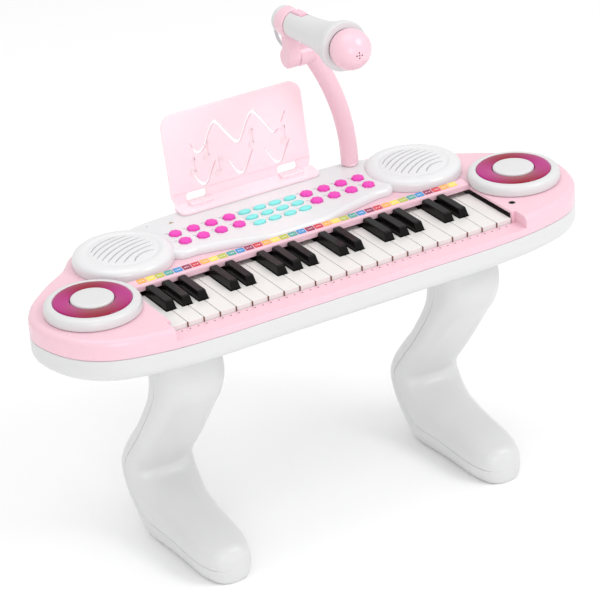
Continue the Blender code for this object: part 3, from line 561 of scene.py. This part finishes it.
def flower_outline(x, y, radius, grow=0.0, count=72):
    outline = []
    for i in range(count):
        angle = 2 * math.pi * i / count
        reach = radius * (0.90 + 0.19 * abs(math.cos(3.5 * angle)) ** 0.8) + grow
        outline.append((x + reach * math.cos(angle), y + reach * math.sin(angle)))
    return outline


def oval_outline(x, y, grow=0.0, count=48):
    outline = []
    for i in range(count):
        a = 2 * math.pi * i / count
        wave = 0.93 + 0.09 * abs(math.cos(3 * a))
        outline.append((x + (0.0063 * wave + grow) * math.cos(a), y + (0.0037 * wave + grow) * math.sin(a)))
    return outline


def flower_places(side):
    return [(side * (0.0424 + i * 0.0192), y) for y in FLOWER_ROWS for i in range(4)]


def teal_places():
    return [((i - 1.5) * 0.0166, y) for y in TEAL_ROWS for i in range(4)]


def grille_slots(side):
    """Bent slots, each an arc that bows to the rear, across a dome's grille."""
    turn = math.radians(24)
    slots = []
    for i in range(8):
        across = (i - 3.5) * 0.0068 - 0.002
        reach = math.sqrt((GRILLE_RADIUS - 0.0045) ** 2 - across**2) * 0.96
        upper, lower = [], []
        for k in range(17):
            t = k / 8 - 1
            bow = across + 0.0046 * (1 - t * t)
            half = 0.0010 * math.sqrt(max(1 - t**4, 0.05))
            upper.append((t * reach, bow + half))
            lower.append((t * reach, bow - half))
        outline = lower + upper[::-1]
        slots.append([(side * DOME_X + x * math.cos(turn) - y * math.sin(turn),
                       DOME_Y + x * math.sin(turn) + y * math.cos(turn)) for x, y in outline])
    return slots


def control_panel(looks):
    low = CASE_TOP + GAP
    mesh = shell(panel_outline(), [(0.0, low)] + fillet(0.0045, low + 0.0015, PANEL_TOP))
    profile = [(DOME_RADIUS, low), (DOME_RADIUS, 0.0110), (0.0470, 0.0138), (0.0456, 0.0160),
               (0.0430, 0.0176), (0.0398, 0.0184), (0.0366, 0.0185), (0.0350, 0.0181), (0.0338, 0.0176),
               (DOME_RIM, DOME_EDGE)]
    profile = [tuple(p) for p in smooth_path(profile, 3)]
    crown = [(DOME_RIM * math.cos(a), DOME_EDGE + (DOME_TOP - DOME_EDGE) * math.sin(a))
             for a in np.linspace(0.1, 1.5, 9)]
    domes = [turned(side * DOME_X, DOME_Y, profile + crown, 128) for side in (-1, 1)]
    mesh = carve(mesh, "UNION", joined(*domes))
    cutters = []
    hollow = [(DOME_RADIUS - SKIN, low - 0.001), (DOME_RADIUS - SKIN, 0.0110), (0.0300, 0.0150)]
    cutters.append(joined(*[turned(side * DOME_X, DOME_Y, hollow) for side in (-1, 1)]))
    flowers = [prism(flower_outline(x, y, FLOWER_RADIUS, 0.0005), low - 0.001, 0.03)
               for side in (-1, 1) for x, y in flower_places(side)]
    ovals = [prism(oval_outline(x, y, 0.0005), low - 0.001, 0.03) for x, y in teal_places()]
    pockets = [box((side * TAB_X - TAB_HALF - GAP, TAB_FRONT - GAP, 0.009),
                   (side * TAB_X + TAB_HALF + GAP, TAB_REAR + GAP, 0.03)) for side in (-1, 1)]
    socket = turned(ARM_X, ARM_Y, [(0.0053, low - 0.001), (0.0053, 0.03)], 64)
    cutters.append(joined(*flowers, *ovals, *pockets, socket))
    grooves = [prism(slot, 0.0166, 0.03) for side in (-1, 1) for slot in grille_slots(side)]
    cutters.append(joined(*grooves))
    mesh = carve(mesh, "DIFFERENCE", *cutters)
    piece("white_panel", mesh, looks["panel"], "case", ["control_panel"], bevel=0.0003,
          segments=2)
    triangle = [(-0.0940, 0.1632), (-0.0888, 0.1638), (-0.0915, 0.1668)]
    piece("power_lamp", prism(triangle, PANEL_TOP - 0.0004, PANEL_TOP + 0.0006), looks["lamp"], "case",
          bevel=0.0003)
    prints = []
    for side in (-1, 1):
        for x, y in flower_places(side):
            prints.append(dash(x - 0.0085, x - 0.0045, y + 0.0062, 0.0005))
            prints.append(dash(x - 0.0075, x - 0.0055, y + 0.0054, 0.0004))
    for x, y in teal_places():
        prints.append(dash(x - 0.0076, x - 0.0012, y + 0.0046, 0.0005))
    for x in (-0.1135, 0.1314):
        prints.append(turned(x, 0.1712, [(0.0009, PANEL_TOP - 0.0002), (0.0009, PANEL_TOP + 0.0001)], 20))
    piece("panel_print", joined(*prints), looks["print_grey"], "case")


def dash(left, right, front, width):
    """A printed dash on the panel, which stands for a word or a number."""
    return box((left, front, PANEL_TOP), (right, front + width, PANEL_TOP + 0.00008))


def button(outline_of, low, top):
    """A button with a domed top and rounded shoulders."""
    levels = [(0.0, low), (0.0, top - 0.0014), (-0.0003, top - 0.0006)]
    levels += [(-0.0010, top - 0.0001), (-0.0024, top + 0.0002)]
    return loft([[(x, y, z) for x, y in outline_of(grow)] for grow, z in levels])


def keypads(looks):
    low = 0.0080
    for side, name in SIDES:
        mesh = joined(*[button(lambda g, x=x, y=y: flower_outline(x, y, FLOWER_RADIUS, g), low, BUTTON_TOP)
                        for x, y in flower_places(side)])
        piece(f"{name}_flower_buttons", mesh, looks["magenta"], f"{name}_flower_keypad",
              [f"{name}_flower_keypad"], smooth=50)
    mesh = joined(*[button(lambda g, x=x, y=y: oval_outline(x, y, g * 0.7), low, BUTTON_TOP - 0.0004)
                    for x, y in teal_places()])
    piece("teal_buttons", mesh, looks["teal"], "teal_keypad", ["teal_keypad"], smooth=50)


# ---------------------------------------------------------------- drum pads
def drums(looks):
    for side, hand in SIDES:
        x = side * DRUM_X
        profile = [(0.0438, CASE_TOP + GAP), (0.0446, CASE_TOP + 0.0012), (0.0446, 0.0105), (0.0441, 0.0134),
                   (0.0428, 0.0156), (0.0408, 0.0168), (0.0385, 0.0173), (0.0366, 0.0172)]
        profile = [tuple(p) for p in smooth_path(profile, 4)]
        profile += [(0.0361, 0.0168), (0.0361, 0.0097), (0.0168, 0.0097), (0.0168, CASE_TOP + GAP)]
        housing = ring_of(x, DRUM_Y, profile)
        piece(f"{hand}_drum_rim", housing, looks["white"], "case", [f"{hand}_drum_housing"])
        profile = [(0.0206, 0.0100), (0.0358, 0.0100), (0.0358, 0.0166), (0.0356, 0.0173), (0.0350, 0.0178),
                   (0.0340, 0.0180), (0.0216, 0.0181), (0.0209, 0.0178), (0.0206, 0.0172)]
        piece(f"{hand}_lens", ring_of(x, DRUM_Y, profile), looks[f"lens_{hand}"], "case",
              [f"{hand}_lamp_ring"])
        profile = [(0.0198, 0.0120), (0.0198, 0.0182), (0.0196, 0.0188), (0.0190, 0.0193), (0.0180, 0.0196),
                   (0.0140, 0.0198), (0.0070, 0.01995), (0.0015, 0.0200)]
        piece(f"{hand}_drum_cap", turned(x, DRUM_Y, profile, 128), looks["white"], f"{hand}_drum_pad",
              [f"{hand}_drum_pad"])


def ring_of(x, y, profile, count=160):
    """A turned ring: the closed profile holds (radius, height)."""
    points, faces = [], []
    for i in range(count):
        a = 2 * math.pi * i / count
        points += [(x + r * math.cos(a), y + r * math.sin(a), z) for r, z in profile]
    n = len(profile)
    for i in range(count):
        j = (i + 1) % count
        for k in range(n):
            m = (k + 1) % n
            faces.append((i * n + k, i * n + m, j * n + m, j * n + k))
    return mesh_from(points, faces)


# ---------------------------------------------------------------- keys
def sharp_after(white):
    has_sharp = (True, True, False, True, True, True, False)  # C D E F G A B
    return has_sharp[(white + 3) % 7] and white < WHITE_KEYS - 1


def white_key(white, looks):
    start, end = (white - HALF_KEYS) * PITCH, (white + 1 - HALF_KEYS) * PITCH
    left, right = start + KEY_SLOT / 2, end - KEY_SLOT / 2
    cut = BLACK_WIDTH / 2 + BLACK_CLEARANCE
    neck_left = start + cut if white > 0 and sharp_after(white - 1) else left
    neck_right = end - cut if sharp_after(white) else right
    front = BLACK_FRONT - BLACK_CLEARANCE
    outline = [(left, 0.0), (right, 0.0), (right, front), (neck_right, front)]
    outline += [(neck_right, KEY_REAR), (neck_left, KEY_REAR), (neck_left, front), (left, front)]
    outline = [p for i, p in enumerate(outline) if p != outline[i - 1]]
    mesh = prism(outline, KEY_BOTTOM, 0.0)
    step = box((left - 0.01, 0.0707, -0.0015), (right + 0.01, 0.1, 0.01))
    under = box((left + 0.0012, 0.0012, -0.02), (right - 0.0012, 0.0260, -0.0012))
    mesh = carve(mesh, "DIFFERENCE", step, under)
    name = f"white_key_{white + 1:02d}"
    piece(name + "_cap", mesh, looks["ivory"], name, [name], bevel=0.0005)


def black_key(white, looks):
    x, half = (white + 1 - HALF_KEYS) * PITCH, BLACK_WIDTH / 2
    # Sections from the bottom up: half width, front edge, height, corner radius
    sections = [(half, BLACK_FRONT, KEY_BOTTOM, 0.0003), (half, BLACK_FRONT, 0.0012, 0.0004)]
    sections += [(0.0047, 0.0299, 0.0022, 0.0006), (0.0041, 0.0324, 0.0074, 0.0008)]
    sections += [(0.0038, 0.0332, 0.0080, 0.0010), (0.0033, 0.0340, BLACK_TOP, 0.0010)]
    rings = []
    for width, front, z, corner in sections:
        outline = rounded_box((x - width, front), (x + width, BLACK_REAR), corner, 3)
        rings.append([(px, py, z) for px, py in outline])
    mesh = loft(rings)
    arm = box((x - 0.0041, BLACK_REAR - 0.01, KEY_BOTTOM), (x + 0.0041, KEY_REAR, -0.0015))
    mesh = carve(mesh, "UNION", arm)
    notch = box((x - 0.0008, 0.0290, -0.001), (x + 0.0008, 0.0299, 0.0016))
    mesh = carve(mesh, "DIFFERENCE", notch)
    name = f"black_key_{white + 1:02d}"
    piece(name + "_cap", mesh, looks["ebony"], name, [name], bevel=0.00025, segments=2,
          smooth=28)


# ---------------------------------------------------------------- music stand
def leaning(points, low, high):
    rings = []
    for depth in (low, high):
        ring = []
        for x, up in points:
            y = STAND_FOOT + up * math.sin(STAND_LEAN) + depth * math.cos(STAND_LEAN)
            z = PANEL_TOP + 0.0010 + up * math.cos(STAND_LEAN) - depth * math.sin(STAND_LEAN)
            ring.append((x, y, z))
        rings.append(ring)
    return loft(rings)


def wave_outline(centre, half_width=0.0019):
    """A wavy slot with pointed ends along a centre line."""
    path = smooth_path(centre, 6)
    left, right = [], []
    for i, p in enumerate(path):
        q, r = path[max(i - 1, 0)], path[min(i + 1, len(path) - 1)]
        along = (r - q) / np.linalg.norm(r - q)
        t = i / (len(path) - 1) * 2 - 1
        level = 0.35 + 0.65 * abs(along[0])
        half = half_width * level * max(1 - abs(t) ** 6, 0.15)
        left.append((p[0] - along[1] * half, p[1] + along[0] * half))
        right.append((p[0] + along[1] * half, p[1] - along[0] * half))
    return left + right[::-1]


def stand_waves():
    """Two rows of waves: the upper one runs on, the lower one is three separate hooks."""
    pitch, low, high = 0.0408, 0.0480, 0.0728
    middle = 0.5 * (low + high)
    upper = [(-0.0487, low + 0.0110), (-0.0455, low + 0.0030), (-0.0405, low), (-0.0340, low + 0.0050)]
    upper += [(-0.0270, middle + 0.0060), (-0.0195, high), (-0.0100, middle), (0.0010, low - 0.0005)]
    upper += [(0.0075, low + 0.0060), (0.0140, middle + 0.0050), (0.0215, high - 0.0005)]
    upper += [(0.0310, middle), (0.0405, low - 0.0010), (0.0465, low + 0.0010)]
    short = [(0.0501, 0.0547), (0.0530, 0.0597), (0.0560, 0.0647)]
    waves = [wave_outline(upper), wave_outline(short, 0.0014)]
    for hook in (-1, 0, 1):
        x, up = 0.0010 + hook * pitch, 0.0160
        line = [(x - 0.0130, up + 0.0185), (x - 0.0085, up + 0.0105), (x - 0.0040, up + 0.0028)]
        line += [(x + 0.0005, up), (x + 0.0048, up + 0.0030), (x + 0.0090, up + 0.0105),
                 (x + 0.0150, up + 0.0200)]
        waves.append(wave_outline(line, 0.0016))
    return waves


def note_relief(x, up, flip):
    """A low raised music note: a tilted oval head and a stem with a flag."""
    tilt = Matrix.Rotation(0.5, 2)
    head = []
    for angle in np.linspace(0, 2 * math.pi, 28, endpoint=False):
        point = tilt @ Vector((0.0034 * math.cos(angle), 0.0024 * math.sin(angle)))
        head.append((x + point.x, up + point.y))
    inner, outer, top = x + 0.0024, x + 0.0033, up + 0.0150
    stem = [(inner, up + 0.0004), (outer, up + 0.0004), (outer, top), (inner, top)]
    flag = [(outer, top), (outer, top - 0.0028)]
    flag += [(outer + flip * 0.0042, top - 0.0052), (outer + flip * 0.0046, top - 0.0038)]
    if flip < 0:
        flag = flag[::-1]
    return [leaning(shape, -0.0005, 0.0004) for shape in (head, stem, flag)]


def music_stand(looks):
    outline = rounded_box((-STAND_HALF, 0.0), (STAND_HALF, STAND_HEIGHT), 0.0130, 12)
    mesh = leaning(outline, 0.0, STAND_THICK)
    low = PANEL_TOP + GAP
    high = low + TRAY_THICK
    tray = prism(rounded_box((-STAND_HALF, TRAY_FRONT), (STAND_HALF, TRAY_REAR), 0.0060), low, high + 0.0010)
    front = TRAY_FRONT - 0.0080
    slope = [(front, high - 0.0030), (TRAY_REAR, high + 0.0012), (TRAY_REAR, high + 0.01),
             (front, high + 0.01)]
    tray = carve(tray, "DIFFERENCE", loft([[(x, y, z) for y, z in slope] for x in (-0.1, 0.1)]))
    tabs = [box((side * TAB_X - TAB_HALF, TAB_FRONT, 0.0095), (side * TAB_X + TAB_HALF, TAB_REAR, high))
            for side in (-1, 1)]
    mesh = carve(mesh, "UNION", tray, *tabs)
    through = 0.0100
    windows = [rounded_box((side * CLIP_X - 0.0110, 0.0045), (side * CLIP_X + 0.0110, 0.0125), 0.0030, 6)
               for side in (-1, 1)]
    slots = [leaning(opening, -through, through) for opening in stand_waves() + windows]
    mesh = carve(mesh, "DIFFERENCE", *slots)
    piece("sheet_music_stand", mesh, looks["stand"], "music_stand", ["music_stand"], bevel=0.0005)
    notes = ((-0.034, 0.042, -1), (-0.050, 0.030, -1), (-0.024, 0.024, 1), (0.015, 0.042, -1),
             (0.050, 0.036, -1))
    reliefs = []
    for x, up, flip in notes:
        reliefs += note_relief(x, up, flip)
    piece("stand_note_reliefs", joined(*reliefs), looks["stand"], "music_stand", smooth=40)
    clips = []
    for side in (-1, 1):
        outline = rounded_box((side * CLIP_X - 0.0120, 0.1762), (side * CLIP_X + 0.0120, 0.1846), 0.0020, 5)
        clips.append(prism(outline, high - 0.0010, high + 0.0022))
    piece("stand_clips", joined(*clips), looks["stand"], "music_stand", bevel=0.0006)
    half, up, width = STAND_HALF - 0.0015, 0.0130, 0.0006
    crease = leaning([(-half, up), (half, up), (half, up + width), (-half, up + width)], -0.0003, 0.0004)
    piece("stand_crease", crease, looks["stand"], "music_stand")


# ---------------------------------------------------------------- microphone and its arm
def ring_along_x(x0, x1, y, z, radius, edge=0.0020):
    levels = [(x0, radius - edge * 0.4), (x0 + edge * 0.3, radius)]
    turn = np.linspace(0, math.pi / 2, 7)
    levels += [(x1 - edge + edge * math.sin(a), radius - edge + edge * math.cos(a)) for a in turn]
    return loft([ellipse(Vector((x, y, z)), AWAY, UPWARD, r, r, 64) for x, r in levels])


def mic_arm(looks):
    low = PANEL_TOP + GAP
    rings = []
    foot = [(0.0050, 0.0079), (0.0050, low), (0.0076, low + 0.0001), (0.0078, low + 0.0008),
            (0.0078, low + 0.0014)]
    for radius, z in foot:
        rings.append(ellipse(Vector((ARM_X, ARM_Y, z)), ALONG, AWAY, radius, radius))
    start, steps = low + 0.0022, 60
    for step in range(steps + 1):
        z = start + (ARM_TOP - start) * step / steps
        rise = max(z - ARM_STRAIGHT, 0.0)
        along = Vector((-2 * ARM_LEAN * rise, 0.0, 1.0)).normalized()
        across = Vector((along.z, 0.0, -along.x))
        centre = Vector((ARM_X - ARM_LEAN * rise**2, ARM_Y, z))
        rings.append(ellipse(centre, across, AWAY, ARM_WIDTH / 2, ARM_DEPTH / 2))
    mesh = carve(loft(rings), "UNION", ring_along_x(MIC_X + 0.0045, MIC_X + 0.0225, *hub_place(), 0.0105))
    piece("microphone_arm", mesh, looks["pink"], "mic_arm", ["mic_arm"], bevel=0.0006,
          smooth=40)
    y, z = hub_place()
    cap = [(MIC_X + 0.0224, 0.0050), (MIC_X + 0.0232, 0.0048), (MIC_X + 0.0234, 0.0040)]
    mesh = loft([ellipse(Vector((x, y, z)), AWAY, UPWARD, r, r, 40) for x, r in cap])
    piece("hub_cap", mesh, looks["pink"], "mic_arm")


def mic_block(corners, x0, x1):
    outline = [mic_point(along, up) for along, up in corners]
    return loft([[p + ALONG * x for p in outline] for x in (x0, x1)])


def mic_ball(looks):
    """The round head with five small sound holes in a plus on its front."""
    turns = np.radians(np.linspace(-52, 88, 40))
    ball = [(BALL_AT + BALL_RADIUS * math.sin(a), BALL_RADIUS * math.cos(a)) for a in turns]
    stem = [(HANDLE_FRONT + 0.0010, 0.0085), (ball[0][0] - 0.0005, 0.0085)]
    mesh = loft(mic_rings(stem + ball, 80))
    centre = mic_point(BALL_AT)
    forward = (mic_point(1.0) - mic_point(0.0)).normalized()
    up = (mic_point(0.0, 1.0) - mic_point(0.0)).normalized()
    holes, shadows, reach = [], [], 0.135
    for h, v in ((0, 0), (-reach, 0), (reach, 0), (0, -reach), (0, reach)):
        out = (forward + ALONG * (h - 0.10) + up * (v - 0.05)).normalized()
        a = out.cross(ALONG).normalized()
        b = out.cross(a)
        holes.append(loft([ellipse(centre + out * d, a, b, 0.0008, 0.0008, 16)
                           for d in (BALL_RADIUS - 0.0020, BALL_RADIUS + 0.0030)]))
        # painted shade: a dark disc sunk in each sound hole, for the shade inside it
        shadows.append(loft([ellipse(centre + out * d, a, b, 0.00079, 0.00079, 16)
                             for d in (BALL_RADIUS - 0.0022, BALL_RADIUS - 0.0005)]))
    mesh = carve(mesh, "DIFFERENCE", joined(*holes))
    piece("sound_hole_painted_shade", joined(*shadows), looks["umber"], "microphone")
    piece("microphone_head", mesh, looks["pink"], "microphone", ["mic_head"], smooth=40)


def mic_handle(looks):
    tail, neck = -HANDLE_TAIL, CLIP_WIDTH / 2 + 0.0008
    body = [(tail, 0.0060), (tail + 0.0002, 0.0098), (tail + 0.0010, 0.0122), (tail + 0.0026, 0.0133),
            (tail + 0.0060, 0.0138), (-neck - 0.0005, 0.0133), (-neck, 0.0130),
            (-neck + 0.0004, NECK_RADIUS), (neck - 0.0004, NECK_RADIUS),
            (neck, 0.0128), (neck + 0.0006, 0.0131)]
    grip = [(0.0090, 0.0132), (0.0200, 0.0135), (0.0420, 0.0142), (0.0620, 0.0160), (0.0780, 0.0192),
            (0.0865, 0.0216), (0.0885, 0.0222)]
    body += [tuple(p) for p in smooth_path(grip, 8)]
    body += [(0.0890, 0.0219), (0.0894, 0.0219), (0.0900, 0.0227), (0.0912, 0.0234), (0.0940, 0.0237),
             (0.0962, 0.0236), (0.0976, 0.0231), (0.0980, 0.0224)]
    mesh = loft(mic_rings(body, 80))
    turns = np.radians(np.linspace(-52, 12, 14))
    ball = [(BALL_AT + BALL_RADIUS * math.sin(a), BALL_RADIUS * math.cos(a) + 0.0006) for a in turns]
    mouth = (ball[-1][0] + 0.02, ball[-1][1] + 0.001)
    cup = [(HANDLE_FRONT + 0.0007, 0.0090), (ball[0][0] - 0.0010, 0.0090), *ball, mouth]
    slot = mic_block([(0.0100, 0.0105), (0.0300, 0.0105), (0.0300, 0.0300), (0.0100, 0.0300)],
                     -0.0042, 0.0042)
    mesh = carve(mesh, "DIFFERENCE", loft(mic_rings(cup, 80)), slot)
    piece("microphone_body", mesh, looks["white"], "microphone", ["mic_handle"],
          bevel=0.0003, segments=2)


def mic_details(looks):
    corners = [(0.0105, 0.0109), (0.0265, 0.0109), (0.0258, 0.0150), (0.0220, 0.0147), (0.0186, 0.0152),
               (0.0150, 0.0147), (0.0112, 0.0150)]
    piece("microphone_switch", mic_block(corners, -0.0038, 0.0038), looks["rose"], "mic_switch",
          ["mic_switch"], bevel=0.0007)
    half = CLIP_WIDTH / 2
    outer = [(-half, CLIP_RADIUS - 0.0012), (-half + 0.0005, CLIP_RADIUS - 0.0004),
             (-half + 0.0014, CLIP_RADIUS)]
    outer += [(half - 0.0014, CLIP_RADIUS), (half - 0.0005, CLIP_RADIUS - 0.0004),
              (half, CLIP_RADIUS - 0.0012)]
    neck_outline = [(-0.0060, -0.0110), (0.0060, -0.0110), (0.0070, -HUB_DROP), (-0.0070, -HUB_DROP)]
    neck = mic_block(neck_outline, -0.0080, 0.0042)
    y, z = hub_place()
    hub = ring_along_x(-MIC_X - 0.0042, -MIC_X + 0.0080, y, z, 0.0100)
    hub.transform(Matrix.Scale(-1, 4, Vector((1, 0, 0))))
    hub.flip_normals()
    mesh = carve(loft(mic_rings(outer, 80)), "UNION", neck, hub)
    bore = loft(mic_rings([(-half - 0.01, NECK_RADIUS + GAP), (half + 0.01, NECK_RADIUS + GAP)], 80))
    mouth = mic_block([(-0.0120, -0.0010), (0.0120, -0.0010), (0.0120, 0.0200), (-0.0120, 0.0200)],
                      0.0030, 0.0200)
    mesh = carve(mesh, "DIFFERENCE", bore, mouth)
    piece("microphone_clip", mesh, looks["pink"], "microphone", ["mic_clip"], bevel=0.0007)
    relief = [(-HANDLE_TAIL - 0.0004, 0.0030), (-HANDLE_TAIL + 0.0010, 0.0044)]
    piece("cord_grommet", ring_from(relief), looks["grey"], "microphone")


def ring_from(profile):
    """A low grommet round the cord's exit, between two (along, radius) stations."""
    (a0, r0), (a1, r1) = profile
    rings = mic_rings([(a0, 0.0019), (a0, r0), (a0 + 0.0005, r0 + 0.0008), (a1, r1), (a1, 0.0019)], 40)
    n = len(rings[0])
    points = [p for ring in rings for p in ring]
    faces = []
    for level in range(len(rings)):
        low, high = level * n, ((level + 1) % len(rings)) * n
        faces += [(low + i, low + (i + 1) % n, high + (i + 1) % n, high + i) for i in range(n)]
    return mesh_from(points, faces)


# ---------------------------------------------------------------- legs
def leg(side, hand, looks):
    """A Z-shaped leg of two half shells: a shin with a channel down its front, and a round foot."""
    top = CASE_BOTTOM - GAP
    # Centre line stations: y, z, direction of the depth in degrees, half depth, half width
    stations = [
        (LEG_HEAD_Y, top - 0.0010, 0, 0.0276, 0.0326),
        (0.0400, -0.0665, 2, 0.0300, 0.0340),
        (0.0430, -0.0850, 12, 0.0275, 0.0335),
        (0.0540, -0.1060, 28, 0.0210, 0.0335),
        (0.0790, -0.1420, 33, 0.0185, 0.0345),
        (0.0983, -0.1653, 24, 0.0200, 0.0348),
        (0.1133, -0.1843, 12, 0.0207, 0.0350),
        (0.1188, -0.1975, -3, 0.0213, 0.0350),
        (0.1145, -0.2115, -22, 0.0222, 0.0350),
        (0.1040, -0.2258, -45, 0.0256, 0.0342),
        (0.0875, -0.2395, -66, 0.0311, 0.0325),
        (0.0640, -0.2418, -82, 0.0275, 0.0305),
        (0.0450, -0.2427, -96, 0.0258, 0.0290),
        (0.0050, -0.2455, -96, 0.0232, 0.0270),
        (-0.0130, -0.2473, -94, 0.0208, 0.0225),
        (-0.0190, -0.2479, -93, 0.0194, 0.0192),
        (-0.0230, -0.2487, -92, 0.0172, 0.0150),
        (-0.0252, -0.2494, -92, 0.0140, 0.0100),
    ]
    body = smooth_path(stations, 6)
    toe = [(-0.0258, -0.2497, -92, 0.0115, 0.0065), (-0.0260, -0.2499, -92, 0.0080, 0.0030)]
    plug = [(LEG_HEAD_Y, top + 0.0120, 0, 0.0190, 0.0200), (LEG_HEAD_Y, top + 0.0001, 0, 0.0190, 0.0200)]
    plug.append((LEG_HEAD_Y, top, 0, 0.0268, 0.0318))
    # Points close beside the two seams keep the seam groove narrow.
    seam_sides = (SEAM_EDGE, math.pi - SEAM_EDGE, math.pi + SEAM_EDGE, 2 * math.pi - SEAM_EDGE)
    turns = sorted([2 * math.pi * i / 64 for i in range(64)] + list(seam_sides))
    floor = -OFFSET.z
    rings = []
    for y, z, turn, depth, width in plug + list(body) + toe:
        forward = Vector((0.0, -math.cos(math.radians(turn)), -math.sin(math.radians(turn))))
        ring = []
        for a in turns:
            c, s = math.cos(a), math.sin(a)
            across = math.copysign(abs(c) ** LEG_CORNER, c) * width
            ahead = math.copysign(abs(s) ** LEG_CORNER, s) * depth
            on_shin = math.exp(-((z + 0.128) / 0.028) ** 2)
            if s > 0:
                ahead -= 0.0022 * on_shin * math.exp(-((across / width) / 0.55) ** 6)
            if abs(s) < 0.001 and z < top - 0.0005:
                across -= math.copysign(SEAM_DEPTH, c)
            point = Vector((side * LEG_X + across, y, z)) + forward * ahead
            point.z = max(point.z, floor)
            ring.append(point)
        rings.append(ring)
    piece(f"{hand}_leg_shells", loft(rings), looks["white"], "case", [f"{hand}_leg"],
          smooth=50)


# ---------------------------------------------------------------- everything
def carried_nodes(looks):
    """CAD nodes that keep their own shape get a finished material."""
    for name, look in (("battery_cover", "white"), ("main_board", "board")):
        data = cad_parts[name].data
        data.materials.clear()
        data.materials.append(looks[look])


def main():
    drum_centre = {hand: Vector((side * DRUM_X, DRUM_Y, 0.0)) + OFFSET for side, hand in SIDES}
    looks = {
        "pink": plastic("pale_pink_plastic", (0.830, 0.540, 0.620), 0.26, 0.012, coat=0.15, subsurface=0.08),
        "rose": plastic("rose_plastic", (0.90, 0.52, 0.62), 0.30, 0.02),
        # painted light: the stand's pink is made lighter than the case's pale pink, to stand in for light on
        # its shaded front face
        "stand": plastic("stand_pink_with_painted_light", (0.985, 0.735, 0.790), 0.22, 0.010, coat=0.2, subsurface=0.3),
        "white": plastic("white_plastic", (0.665, 0.665, 0.670), 0.32, 0.012, coat=0.1),
        "panel": plastic("panel_white_plastic", (0.730, 0.730, 0.740), 0.20, 0.012, coat=0.2),
        "ivory": plastic("key_white_plastic", (0.760, 0.740, 0.720), 0.22, 0.012, coat=0.1),
        "ebony": plastic("key_black_plastic", (0.006, 0.005, 0.005), 0.13, 0.2, specular=0.12),
        "lens_left": lens_material("left_magenta_lens", drum_centre["left"]),
        "lens_right": lens_material("right_magenta_lens", drum_centre["right"]),
        "magenta": plastic("magenta_silicone", (0.800, 0.050, 0.460), 0.42, 0.05, bump=0.05),
        "teal": plastic("teal_silicone", (0.230, 0.760, 0.730), 0.42, 0.04, bump=0.05),
        "board": plastic("green_board", (0.015, 0.140, 0.060), 0.45, 0.25, mottle=600.0),
        "grey": plastic("grey_sleeve", (0.560, 0.560, 0.580), 0.50, 0.06, bump=0.2, grain=2500.0),
        # umber: the dark ledge dots, and painted shade in the key gaps and in the sound holes
        "umber": plastic("umber_dots_and_painted_shade", (0.16, 0.055, 0.035), 0.6, 0.2),
        # dark: the headphone socket's own colour, and painted shade in the vent slots
        "dark": plastic("dark_socket_and_painted_vent_shade", (0.020, 0.018, 0.020), 0.35, 0.2),
        "steel": plastic("screw_steel", (0.55, 0.55, 0.57), 0.30, 0.1),
        "lamp": plastic("amber_lens", (0.40, 0.28, 0.16), 0.15, 0.1, coat=1.0),
        "print_grey": plastic("grey_print", (0.36, 0.36, 0.37), 0.5, 0.1),
        "print_white": plastic("white_print", (0.80, 0.80, 0.80), 0.5, 0.05),
    }
    colours = ((0.62, 0.03, 0.05), (0.88, 0.40, 0.07), (0.92, 0.68, 0.10), (0.46, 0.50, 0.06),
               (0.07, 0.36, 0.31), (0.03, 0.26, 0.58), (0.30, 0.015, 0.08))
    for i, colour in enumerate(colours):
        looks[f"label_{i}"] = plastic(f"label_colour_{i}", colour, 0.38, 0.05, coat=0.3)
    looks["steel"].node_tree.nodes["Principled BSDF"].inputs["Metallic"].default_value = 1.0
    camera()
    mic_cord(looks["grey"])
    studio()
    upper_case(looks)
    sticker_strip(looks)
    lower_case(looks)
    control_panel(looks)
    keypads(looks)
    drums(looks)
    for white in range(WHITE_KEYS):
        white_key(white, looks)
        if sharp_after(white):
            black_key(white, looks)
    music_stand(looks)
    mic_arm(looks)
    mic_ball(looks)
    mic_handle(looks)
    mic_details(looks)
    leg(-1, "left", looks)
    leg(1, "right", looks)
    carried_nodes(looks)


main()
